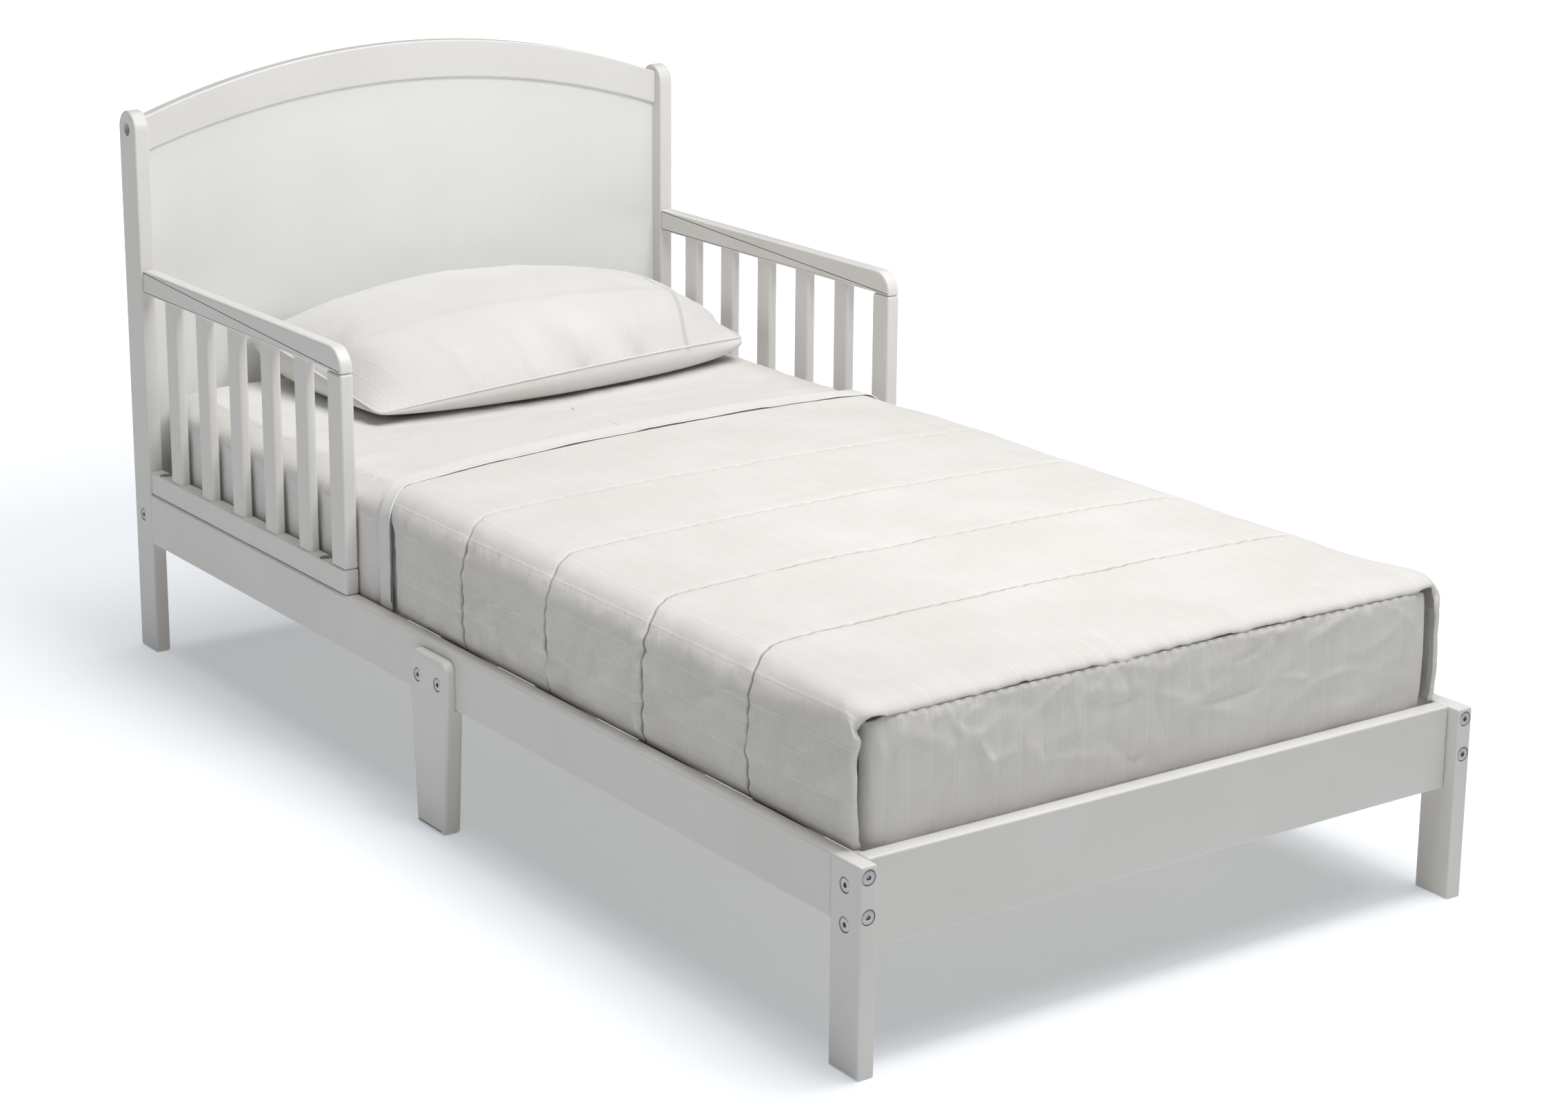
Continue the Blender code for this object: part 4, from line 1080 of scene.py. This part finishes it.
def band_edges(s):
    """Foot edge and head edge of the turned-back hem along the bed, at distance s across the cloth."""
    x = np.clip(s, -0.36, 0.36)
    foot_edge = 0.181 + 0.088 * x - 0.10 * x ** 2
    width = 0.036 - 0.010 * smooth_step(np.abs(s), 0.20, 0.36)
    side = smooth_step(np.abs(s), FLAT, FLAT + 0.05)
    foot_edge = foot_edge - 0.010 * side * (s < 0)
    return foot_edge, foot_edge + width


def head_edge(s):
    """Where the coverlet ends: under the hem on top, and short of it on the sides, which leaves a dark gap."""
    foot_edge, hem_edge = band_edges(s)
    side = smooth_step(np.abs(s), FLAT + 0.02, FLAT + 0.07)
    low_down = smooth_step(np.abs(s), 0.43, 0.48)
    return (hem_edge - 0.008) * (1 - side) + (foot_edge - 0.010 + 0.007 * low_down) * side


def foot_turn(s):
    """Reach along the bed and drop of the turn at the foot: long and shallow on top, tight at the side hems."""
    side = smooth_step(np.abs(s), FLAT + 0.016, FLAT + 0.046)
    return 0.034 - 0.0305 * side, 0.0125 - 0.0090 * side


def coverlet_top():
    """Section carried along the bed. The rows follow the bend of the cross seams. At the foot the cloth turns
    down along a quarter ellipse; the hems on the sides run a little further in, behind the fold."""
    reach = FLAT + SHOULDER * math.pi / 2 + (SHEET_TOP - SHOULDER - COVER_BOTTOM)
    s = np.linspace(-reach, reach, 2 * int(reach / 0.0042) + 1)[None, :]
    side = smooth_step(np.abs(s), FLAT + 0.030, FLAT + 0.055)
    foot_y = COVER_LOW[1] + 0.0006 + 0.0020 * side * (1 + waves(s, 0 * s, 22, 0.07))
    along, drop = foot_turn(s)
    row = seam_rows(COVER_LOW[1] + 0.016, 0.155, SEAMS, 0.0085, 0.0011, 0.0055)[:, None]
    bent = smooth_step(row, row[0], row[0] + 0.13) * (1 - smooth_step(row, 0.0, 0.10))
    y = row + (foot_y + along - row[0]) * (1 - smooth_step(row, row[0], row[0] + 0.06))
    y = y + seam_bend(s) * bent + smooth_step(row, 0.01, 0.155) * (head_edge(s) - row[-1])
    lift = 0.0070 - 0.0025 * smooth_step(y, 0.09, 0.16)
    base, outward = section(s, y, lift)
    relief, seam = cloth_relief(s, y, row)
    quiet = 1 - smooth_step(y, 0.13, 0.17)
    low_part = smooth_step(-base[..., 2], -0.215, -0.202)
    relief = relief * (0.35 + 0.65 * quiet) * (1 - 0.85 * low_part)
    over = smooth_step(np.abs(s), FLAT, FLAT + 0.06)
    belly = 0.0022 * np.sin(np.clip((base[..., 2] - 0.2) / 0.11, 0, 1) * math.pi) * over
    gape = 0.0035 * np.exp(-((y - head_edge(s)) / 0.016) ** 2) * smooth_step(np.abs(s), FLAT + 0.02, FLAT + 0.07)
    shoulder_turn = np.clip((np.abs(s) - FLAT) / SHOULDER, 0, math.pi / 2)
    corner = 0.0098 * smooth_step(-y, 0.58, 0.69) * np.sin(2 * shoulder_turn) ** 2
    outer = base + outward * (relief + belly + corner - gape)[..., None]
    outer[..., 0] = np.where(base[..., 2] < 0.206, np.clip(outer[..., 0], -COVER_HALF, COVER_HALF), outer[..., 0])
    end, end_out = outer[0], outward[0]
    angles = np.linspace(0, math.pi / 2, 12)[1:, None]
    turn = end[None] - end_out[None] * (drop[0] * (1 - np.cos(angles)))[..., None]
    turn[..., 1] -= along[0] * np.sin(angles)
    high_up = smooth_step(end[:, 2], 0.285, 0.322)
    tuck = np.array([0.0014, 0.0030])[:, None] * side[0] * (1 + 2.6 * high_up)
    inward = turn[-1][None] - end_out[None] * (tuck + 0.0004)[..., None]
    knot = np.exp(-((np.abs(s[0]) - (FLAT + 0.036)) / 0.007) ** 2)
    turn[..., 2] -= 0.0050 * knot * np.sin(angles)
    turn[..., 1] += 0.0060 * knot * np.sin(angles) ** 2
    inward[..., 1] += 0.0060 * knot
    inward[..., 2] -= 0.0050 * knot
    outer = np.concatenate([inward[::-1], turn[::-1], outer])
    turned_out = end_out[None] * np.cos(angles)[..., None]
    turned_out[..., 1] -= np.sin(angles)
    behind = np.zeros_like(inward)
    behind[..., 1] = -1.0
    outward = np.concatenate([behind, turned_out[::-1], outward])
    extra = len(angles) + len(tuck)
    thick = 0.0032 * np.ones(outer.shape[:2])
    thick[:extra] = 0.0022
    inner = outer - outward * thick[..., None]
    path = np.cumsum(np.linalg.norm(np.diff(outer, axis=0, prepend=outer[:1]), axis=-1), axis=0)
    uv = np.stack([s + 0 * path, path], axis=-1)
    seam = np.concatenate([np.zeros((extra, seam.shape[1])), seam])
    # Painted shade: a faint dark line along the top's foot edge, where it overhangs the foot panel, on top only.
    seam[2] = 0.20 * (1 - side)
    rumple = 0.15 + 1.45 * over + 0 * path
    points, quads, uv, marks = closed_sheet(outer, inner, uv, {"seam": seam, "rumple": rumple})
    piece = make_mesh("coverlet_top_and_sides", points, quads, uv=uv, marks=marks)
    turn_outward(piece)
    piece.data.materials.append(COVERLET_CLOTH)
    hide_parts("coverlet")
    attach(piece, "coverlet")
    return piece


coverlet_piece = coverlet_top()
print("coverlet top and sides:", len(coverlet_piece.data.polygons), "faces")

# %% [markdown]
# The foot panel is sewn to the top along the foot edge and drops inside the foot rail. Its
# stripes run on from the top, so they are upright here. It slips in behind the rolled hems of
# the sides, which leaves a dark slot at each corner.

# %% Coverlet foot panel
def coverlet_foot():
    """Upright sheet below the foot seam; it curls in at the seam, and its edges roll back behind the side hems."""
    x = np.linspace(-0.3415, 0.3415, 240)[None, :]
    seam_z = SHEET_TOP + 0.0070 + crown(x, COVER_LOW[1] + 0.034) - foot_turn(0)[1] - 0.0003
    seam_z = seam_z - 0.0050 * smooth_step(np.abs(x), 0.322, 0.3415)
    share = np.concatenate([np.linspace(0, 0.10, 14, endpoint=False), np.linspace(0.10, 1, 44)])[:, None]
    z = seam_z + (COVER_BOTTOM - seam_z) * share
    down = seam_z - z
    curl = 0.0010 * np.exp(-down / 0.0008)
    ribs = 0.0008 * np.sqrt(np.abs(np.sin(x * math.pi / STRIPE)) + 0.02) * smooth_step(down, 0.001, 0.006)
    puckers = 0.0007 * np.sin(x * 2 * math.pi / 0.0125 + 2.5 * waves(x, 0 * x, 61, 0.15)) * np.exp(-down / 0.010)
    folds = creases(x, z, 62, 60, (-0.33, 0.33, 0.21, 0.32), 0.045, 0.006, 0.0018, 0.25, 0.5)
    folds = folds + creases(x, z, 63, 44, (-0.33, 0.33, 0.24, 0.33), 0.028, 0.004, 0.0018, math.pi / 2, 0.35)
    folds = folds * smooth_step(down, 0.0, 0.012)
    belly = 0.0024 * np.sin(np.clip(share, 0, 1) * math.pi) ** 0.8
    roll = np.clip((np.abs(x) - 0.3295) / 0.012, 0, 1)
    dip = 0.0030 * smooth_step(np.abs(x), 0.305, 0.336) + 0.0135 * (1 - np.sqrt(1 - roll ** 2 * 0.999))
    low_part = smooth_step(-z, -0.212, -0.202)
    out = ribs + puckers + (folds + belly) * (1 - low_part) + 0.0006 * waves(x, z, 64, 0.12)
    y = COVER_LOW[1] + 0.0009 + curl + dip - out
    y = np.where(z < 0.203, np.maximum(y, COVER_LOW[1] + 0.0002), y)
    outer = np.stack([x + 0 * z, y, z], axis=-1)
    inner = outer + np.array([0, 0.0026, 0])
    # Painted shade: a dark line along the foot seam, where the top meets the foot panel.
    painted_seam_shade = 0.5 * np.exp(-(down / 0.0007) ** 2)
    uv = np.stack([down, x + 0 * z], axis=-1)
    points, quads, uv, marks = closed_sheet(outer, inner, uv, {"seam": painted_seam_shade, "rumple": 1.3 + 0 * painted_seam_shade})
    piece = make_mesh("coverlet_foot_panel", points, quads, uv=uv, marks=marks)
    turn_outward(piece)
    piece.data.materials.append(FOOT_CLOTH)
    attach(piece, "coverlet")
    return piece


foot_piece = coverlet_foot()
print("coverlet foot panel:", len(foot_piece.data.polygons), "faces")

# %% [markdown]
# ## The turned-back hem
# The top sheet's hem, in smooth white sateen, is folded back over the end of the coverlet. It
# is one strip whose profile starts at a free edge on top of the coverlet, runs towards the
# pillow, turns round in a tight fold and goes back underneath. The free edge is lifted a little,
# unevenly, so it throws a thin, broken shadow.

# %% Turned-back hem
def turned_back_hem():
    """Fold profile (distance along the bed, height over the sheet) carried across the bed's section."""
    reach = FLAT + SHOULDER * math.pi / 2 + (SHEET_TOP - SHOULDER - COVER_BOTTOM)
    s = np.linspace(-reach, reach, 241)[None, :]
    foot_edge, hem_edge = band_edges(s)
    side = smooth_step(np.abs(s), FLAT, FLAT + 0.05)
    wobble = 0.0012 * waves(s, 0 * s, 71, 0.10)
    foot_edge = foot_edge + wobble * 0.8
    hem_edge = hem_edge + 0.0010 * waves(s, 0 * s, 72, 0.16)
    top = 0.0063 + 0 * s
    fold = 0.00295
    over = np.linspace(0, 1, 12)[:, None]
    lifted = 0.0010 * np.exp(-over / 0.12) * (0.3 + 1.1 * waves(s, 0 * s, 73, 0.09)) + 0.0010 * side * (1 - over)
    y_over = foot_edge + (hem_edge - fold - foot_edge) * over
    h_over = top + lifted + 0.0004 * waves(s, y_over, 74, 0.06)
    angle = np.linspace(math.pi / 2, -math.pi / 2, 9)[1:, None]
    y_fold = hem_edge - fold + fold * np.cos(angle)
    h_fold = top - fold + fold * np.sin(angle)
    back = np.linspace(0, 1, 5)[1:, None]
    y_back = hem_edge - fold - 0.016 * back
    h_back = top - 2 * fold + 0 * y_back
    y = np.concatenate([y_over, y_fold, y_back])
    h = np.concatenate([h_over, h_fold, h_back])
    base, outward = section(s, y, 0.0)
    outer = base + outward * (h + 0.0004)[..., None]
    outer[..., 0] = np.where(outer[..., 2] < 0.206, np.clip(outer[..., 0], -COVER_HALF - 0.0006, COVER_HALF + 0.0006),
                             outer[..., 0])
    along = np.gradient(outer, axis=0)
    across = np.gradient(outer, axis=1)
    normal = np.cross(across, along)
    normal /= np.linalg.norm(normal, axis=-1, keepdims=True)
    inner = outer - normal * 0.0011
    path = np.cumsum(np.linalg.norm(np.diff(outer, axis=0, prepend=outer[:1]), axis=-1), axis=0)
    # Painted shade: a dark line along the stitching, 3.5 mm from the hem's free edge.
    painted_stitch_shade = 0.35 * np.exp(-((path - 0.0035) / 0.0006) ** 2)
    uv = np.stack([s + 0 * path, path], axis=-1)
    points, quads, uv, marks = closed_sheet(outer, inner, uv, {"seam": painted_stitch_shade})
    piece = make_mesh("turned_back_hem", points, quads, uv=uv, marks=marks)
    turn_outward(piece)
    piece.data.materials.append(HEM_CLOTH)
    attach(piece, "coverlet")
    return piece


hem_piece = turned_back_hem()
print("turned-back hem:", len(hem_piece.data.polygons), "faces")

# %% [markdown]
# ## The pillow
# A pillow is two flat panels sewn together and stuffed, so its shape is what pressure makes of
# them: full in the middle, pulled in along its sides, thin and pointed at its corners, with
# creases that run in from the seam. Blender's cloth simulation gives just that. The panels start
# flat and slightly apart, pressure blows them up with gravity off, and then the result is
# settled on the mattress: the underside is pressed flat and the back leans on the headboard.

# %% Pillow: two sewn panels, blown up
PANEL = (0.640, 0.400)      # size of each sewn panel, in metres
PANEL_GRID = (92, 58)       # points across and along it
FRAMES = 26                 # enough for the pressure and the cloth to come to rest


def sewn_panels():
    """Two grids that share their outer rows of points: the seam. The corners are rounded a little in plan."""
    columns, rows = PANEL_GRID
    a = np.linspace(-1, 1, columns)[None, :]
    b = np.linspace(-1, 1, rows)[:, None]
    trim = 1 - 0.035 * (np.abs(a) * np.abs(b)) ** 6
    x = PANEL[0] / 2 * a * trim
    y = PANEL[1] / 2 * b * trim
    dome = (1 - a ** 2) * (1 - b ** 2)
    flat = np.stack([x, y, 0 * x], axis=-1)
    over = flat + np.stack([0 * x, 0 * x, 0.012 * dome ** 0.5], axis=-1)
    under = flat - np.stack([0 * x, 0 * x, 0.012 * dome ** 0.5], axis=-1)
    number = np.arange(rows * columns).reshape(rows, columns)
    below = number.copy()
    inside = below[1:-1, 1:-1]
    below[1:-1, 1:-1] = rows * columns + np.arange(inside.size).reshape(inside.shape)
    top = np.stack([number[:-1, :-1], number[:-1, 1:], number[1:, 1:], number[1:, :-1]], axis=-1).reshape(-1, 4)
    bottom = np.stack([below[:-1, :-1], below[1:, :-1], below[1:, 1:], below[:-1, 1:]], axis=-1).reshape(-1, 4)
    points = np.concatenate([over.reshape(-1, 3), under[1:-1, 1:-1].reshape(-1, 3)])
    seam = np.concatenate([number[0, :], number[1:, -1], number[-1, -2::-1], number[-2:0:-1, 0]])
    uv = points[:, :2] + np.array([PANEL[0] / 2, PANEL[1] / 2])
    return points, np.concatenate([top, bottom]), seam, uv, number


def blow_up(points, quads):
    """Cloth simulation with inner pressure, no gravity; returns the points after the last frame."""
    work = make_mesh("pillow_work", points, quads)
    cloth = work.modifiers.new("cloth", "CLOTH")
    settings = cloth.settings
    settings.quality = 6
    settings.mass = 0.25
    settings.tension_stiffness = 28
    settings.compression_stiffness = 28
    settings.shear_stiffness = 8
    settings.bending_stiffness = 0.35
    settings.use_pressure = True
    settings.uniform_pressure_force = 5.0
    settings.effector_weights.gravity = 0.0
    settings.air_damping = 3.0
    cloth.collision_settings.use_collision = False
    cloth.point_cache.frame_start = 1
    cloth.point_cache.frame_end = FRAMES
    scene = bpy.context.scene
    for number in range(1, FRAMES + 1):
        scene.frame_set(number)
    graph = bpy.context.evaluated_depsgraph_get()
    result = np.empty(len(points) * 3, np.float32)
    work.evaluated_get(graph).data.vertices.foreach_get("co", result)
    scene.frame_set(1)
    bpy.data.objects.remove(work)
    return result.reshape(-1, 3).astype(float)


points, pillow_quads, pillow_seam, pillow_uv, pillow_number = sewn_panels()
blown = blow_up(points, pillow_quads)
moved = np.linalg.norm(blown - points, axis=1)
print("pillow blown up: furthest point moved", round(float(moved.max()), 4), "m; size",
      [round(float(value), 3) for value in np.ptp(blown, axis=0)])

# %% [markdown]
# The blown-up shape is then laid on the bed: its seam is carried to four curved lines, low at
# the front and raised at the back, where the pillow leans on the headboard, and everything
# between them follows. The case's stitched hem runs across the top near its open end, and a
# thin piping cord closes the seam.

# %% Pillow: settled on the bed
def soften(shape, rounds):
    """Upper panel with its creases evened out: each inner point moves half way to the middle of its neighbours."""
    columns, rows = PANEL_GRID
    panel = shape[:rows * columns].reshape(rows, columns, 3).copy()
    for _ in range(rounds):
        around = (panel[:-2, 1:-1] + panel[2:, 1:-1] + panel[1:-1, :-2] + panel[1:-1, 2:]) / 4
        panel[1:-1, 1:-1] += 0.5 * (around - panel[1:-1, 1:-1])
    return panel


def evened(shape):
    """The broad form of the blown-up upper panel, with a third of its own creases left in."""
    broad = soften(shape, 150)
    return broad + 0.3 * (soften(shape, 8) - broad)


def coons(front, back, left, right):
    """Surface through four edges: the two ruled surfaces between opposite edges, less the one through the corners."""
    a = np.linspace(0, 1, len(front))[None, :, None]
    b = np.linspace(0, 1, len(left))[:, None, None]
    corners = ((1 - a) * (1 - b) * front[0] + a * (1 - b) * front[-1]
               + (1 - a) * b * back[0] + a * b * back[-1])
    return ((1 - b) * front[None] + b * back[None] + (1 - a) * left[:, None] + a * right[:, None]) - corners


def settled_seam():
    """The seam's four sides on the bed, as plan position and height over the sheet.

    Each side is a straight line between two corners, bowed by 4 * t * (1 - t)."""
    columns, rows = PANEL_GRID
    front_left, front_right = np.array([-0.226, 0.384, 0.013]), np.array([0.312, 0.440, 0.028])
    back_left, back_right = np.array([-0.238, 0.688, 0.058]), np.array([0.345, 0.655, 0.040])

    def side(start, end, bow, count):
        share = np.linspace(0, 1, count)[:, None]
        return start + (end - start) * share + np.array(bow) * 4 * share * (1 - share)

    return (side(front_left, front_right, (0, -0.043, 0.013), columns),
            side(back_left, back_right, (0, 0.020, 0.010), columns),
            side(front_left, back_left, (-0.004, 0, 0.004), rows),
            side(front_right, back_right, (-0.004, 0, 0.002), rows))


def settle_pillow(upper):
    """Moves the blown-up form's seam to its place on the bed and carries the rest with it.

    Height of the top is the seam's height plus the blown-up rise. The lower panel goes down from the seam
    along a quarter sine in 35 mm of cloth and bellies out by up to 15 mm on the way.
    """
    rim = coons(upper[0], upper[-1], upper[:, 0], upper[:, -1])
    seat = coons(*settled_seam())
    a = np.linspace(0, 1, PANEL_GRID[0])[None, :]
    b = np.linspace(0, 1, PANEL_GRID[1])[:, None]
    top = upper - rim
    case_end = smooth_step(a, 0.76, 0.96)
    rise = 0.064 * np.clip(top[..., 2] / top[..., 2].max(), 0, 1) ** 0.8 * (1 - 0.30 * case_end)
    over_x = seat[..., 0] + 0.9 * top[..., 0]
    over_y = seat[..., 1] + 0.9 * top[..., 1]
    ground = SHEET_TOP + 0.0022
    over = np.stack([over_x, over_y, ground + crown(over_x, over_y) + seat[..., 2] + rise], axis=-1)
    across = np.minimum(a, 1 - a) * PANEL[0]
    along = np.minimum(b, 1 - b) * PANEL[1]
    near = 1 / (1 / (across + 1e-6) + 1 / (along + 1e-6))
    down = np.sin(np.clip(near / 0.035, 0, 1) * math.pi / 2)
    belly = 0.015 * (1 - np.exp(-near / 0.008)) * np.exp(-(near / 0.07) ** 2)
    under_x = seat[..., 0] + belly * np.sign(a - 0.5) * np.exp(-(across / 0.05) ** 2)
    under_y = seat[..., 1] + belly * np.sign(b - 0.5) * np.exp(-(along / 0.05) ** 2) * (b < 0.5)
    under = np.stack([under_x, under_y, ground + crown(under_x, under_y) + seat[..., 2] * (1 - down)], axis=-1)
    return np.concatenate([over.reshape(-1, 3), under[1:-1, 1:-1].reshape(-1, 3)])


def pillow():
    """The settled pillow, with the case's stitched hem pressed into its top as a groove beside a ridge."""
    place = settle_pillow(evened(blown))
    count = pillow_number.size
    u = pillow_uv[:, 0]
    on_top = np.zeros(len(place))
    on_top[:count] = 1.0
    hem = np.exp(-((u - 0.512) / 0.0022) ** 2) * on_top
    ridge = np.exp(-((u - 0.518) / 0.004) ** 2) * on_top
    place[:, 2] += 0.0009 * ridge - 0.0012 * hem
    place[:, 2] += on_top * creases(u, pillow_uv[:, 1], 81, 26, (0.05, 0.60, 0.02, 0.38),
                                    0.06, 0.006, 0.0011, 1.2, 0.9)
    # Painted shade: the stitched hem's groove is darkened a little through the 'seam' mark.
    piece = make_mesh("pillow_in_case", place, pillow_quads, uv=pillow_uv,
                      marks={"seam": 0.35 * hem, "rumple": np.full(len(place), 0.10)})
    turn_outward(piece)
    piece.data.materials.append(CASE_CLOTH)
    finer = piece.modifiers.new("finer cloth", "SUBSURF")
    finer.levels = finer.render_levels = 1
    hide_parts("pillow")
    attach(piece, "pillow")
    return piece, place[pillow_seam]


def tube_along(name, path, radius, sides=10):
    """Closed tube round a loop of points: a circle carried along, square to the path at each point."""
    ahead = np.roll(path, -1, axis=0) - np.roll(path, 1, axis=0)
    ahead /= np.linalg.norm(ahead, axis=1, keepdims=True)
    side = np.cross(ahead, [0, 0, 1.0])
    side /= np.linalg.norm(side, axis=1, keepdims=True)
    up = np.cross(side, ahead)
    angle = np.arange(sides) * 2 * math.pi / sides
    points = (path[:, None] + radius * (np.cos(angle)[None, :, None] * side[:, None]
                                        + np.sin(angle)[None, :, None] * up[:, None]))
    quads = grid_faces(len(path), sides, wrap_rows=True, wrap_columns=True)
    run = np.cumsum(np.linalg.norm(path - np.roll(path, 1, axis=0), axis=1))
    uv = np.stack(np.broadcast_arrays(angle[None, :] * radius, run[:, None]), axis=-1)
    piece = make_mesh(name, points.reshape(-1, 3), quads, uv=uv.reshape(-1, 2),
                      marks={"rumple": np.full(points.shape[0] * sides, 0.2)})
    turn_outward(piece)
    return piece


def smooth_loop(path, times):
    """Averages each point of a closed loop with its neighbours, a few times over."""
    for _ in range(times):
        path = (np.roll(path, 1, axis=0) + 2 * path + np.roll(path, -1, axis=0)) / 4
    return path


pillow_piece, seam_path = pillow()
piping = tube_along("pillow_piping", smooth_loop(seam_path, 2), 0.0014)
piping.data.materials.append(CASE_CLOTH)
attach(piping, "pillow")
print("pillow:", len(pillow_piece.data.polygons), "faces before subdivision")

# %% [markdown]
# ## Floor, light and camera
# The bed stands on a seamless pale floor in a bright studio. The floor glows with painted light of
# its own, and glows less in an oval round the bed, which paints a soft, pale shadow there with a
# slightly cool tint. Floor and air look brighter to the camera than they shine on the bed, so
# the ground is white while the outer sides stay in gentle shade. A wide, high source lights the
# tops, and a softbox over the bed's foot half lights the headboard.

# %% Floor
floor_half = 60.0
floor_points = np.array([[-1, -1, 0], [1, -1, 0], [1, 1, 0], [-1, 1, 0]]) * floor_half
floor = make_mesh("studio_floor", floor_points, np.array([[0, 1, 2, 3]]))
floor_finish, floor_tree, floor_shader = new_finish("glowing white studio floor with a painted shadow", {
    "Base Color": linear("#E8EAEC"), "Roughness": 0.9, "Specular IOR Level": 0.1,
    "Emission Color": linear("#FFFFFF")})
floor_place = add_node(floor_tree, "ShaderNodeTexCoord").outputs["Object"]
# Painted shadow: the floor's glow is weakest in this oval round the bed, set a little to the left and towards the
# head, which paints a soft shadow under and beside the bed.
painted_shadow_oval = add_node(floor_tree, "ShaderNodeMapping", {"Scale": (1.0, 0.68, 1.0), "Location": (-0.12, 0.07, 0.0)},
                      {"Vector": floor_place}).outputs[0]
floor_reach = add_node(floor_tree, "ShaderNodeVectorMath", {"operation": "LENGTH"}, {0: painted_shadow_oval}).outputs["Value"]
floor_far = add_node(floor_tree, "ShaderNodeMapRange", {
    "interpolation_type": "SMOOTHSTEP", "From Min": 0.55, "From Max": 2.2}, {"Value": floor_reach}).outputs[0]
# Painted light: the glow runs from 0.24 inside the oval to 0.56 far out. The camera sees it 1.4 times as strong, and
# the bed gets 0.6 times.
floor_glow = add_node(floor_tree, "ShaderNodeMath", {"operation": "MULTIPLY_ADD", 1: 0.32, 2: 0.24}, {0: floor_far})
floor_seen = add_node(floor_tree, "ShaderNodeLightPath").outputs["Is Camera Ray"]
floor_share = add_node(floor_tree, "ShaderNodeMapRange", {"To Min": 0.60, "To Max": 1.40}, {"Value": floor_seen})
floor_strength = add_node(floor_tree, "ShaderNodeMath", {"operation": "MULTIPLY"},
                          {0: floor_glow.outputs[0], 1: floor_share.outputs[0]})
floor_tree.links.new(floor_strength.outputs[0], floor_shader.inputs["Emission Strength"])
# Painted shadow tint: the glow is a cool white inside the oval, which offsets warm light bounced off the pine, and
# plain white further out.
floor_tree.links.new(two_tone(floor_tree, floor_far, "#F0F6FD", "#FFFFFF"), floor_shader.inputs["Emission Color"])
floor.data.materials.append(floor_finish)
print("floor ready")

# %% Light
world = bpy.data.worlds.new("studio air")
bpy.context.scene.world = world
world.use_nodes = True
air_tree = world.node_tree
air_seen = add_node(air_tree, "ShaderNodeLightPath").outputs["Is Camera Ray"]
air_glow = add_node(air_tree, "ShaderNodeMapRange", {"To Min": 0.12, "To Max": 1.0}, {"Value": air_seen})
air_tree.links.new(air_glow.outputs[0], air_tree.nodes["Background"].inputs["Strength"])
air_tree.nodes["Background"].inputs["Color"].default_value = linear("#FFFFFF")


def lamp(name, kind, place, travel, settings):
    """A light of a kind at a place whose rays travel along a direction."""
    data = bpy.data.lights.new(name, kind)
    for key, value in settings.items():
        setattr(data, key, value)
    back = -np.asarray(travel, float) / np.linalg.norm(travel)
    side = np.cross([0, 1.0, 0], back)
    side /= np.linalg.norm(side)
    turn = np.stack([side, np.cross(back, side), back], axis=1)
    light = bpy.data.objects.new(name, data)
    light.matrix_world = Matrix([[*turn[0], place[0]], [*turn[1], place[1]], [*turn[2], place[2]], [0, 0, 0, 1]])
    bpy.context.scene.collection.objects.link(light)


lamp("softbox over the bed", "AREA", (0.15, -0.68, 1.75), (0.0, 0.95, -1.0),
     {"shape": "RECTANGLE", "size": 0.9, "size_y": 0.8, "energy": 18.0})
lamp("wide high source", "SUN", (0, 0, 3), (-0.14, 0.10, -1.0), {"energy": 1.55, "angle": math.radians(45)})
print("lights ready")

# %% Camera
camera_data = bpy.data.cameras.new("camera")
camera_data.sensor_width = 36.0
camera_data.lens = 74.83
camera_data.shift_x = 0.0007
camera_data.shift_y = -0.0539
camera = bpy.data.objects.new("camera", camera_data)
bpy.context.scene.collection.objects.link(camera)
bpy.context.scene.camera = camera
YAW, PITCH, ROLL = (math.radians(value) for value in (35.451, 15.219, 0.525))
forward = np.array([math.sin(YAW) * math.cos(PITCH), math.cos(YAW) * math.cos(PITCH), -math.sin(PITCH)])
level = np.array([math.cos(YAW), -math.sin(YAW), 0.0])
upright = np.cross(level, forward)
right = level * math.cos(ROLL) + upright * math.sin(ROLL)
up = upright * math.cos(ROLL) - level * math.sin(ROLL)
rotation = np.stack([right, up, -forward], axis=1)
camera.matrix_world = Matrix([[*rotation[0], -1.9311], [*rotation[1], -2.8011], [*rotation[2], 1.2491],
                              [0, 0, 0, 1]])
bpy.context.scene.view_settings.view_transform = "Standard"
print("camera", round(camera_data.lens, 1), "mm")
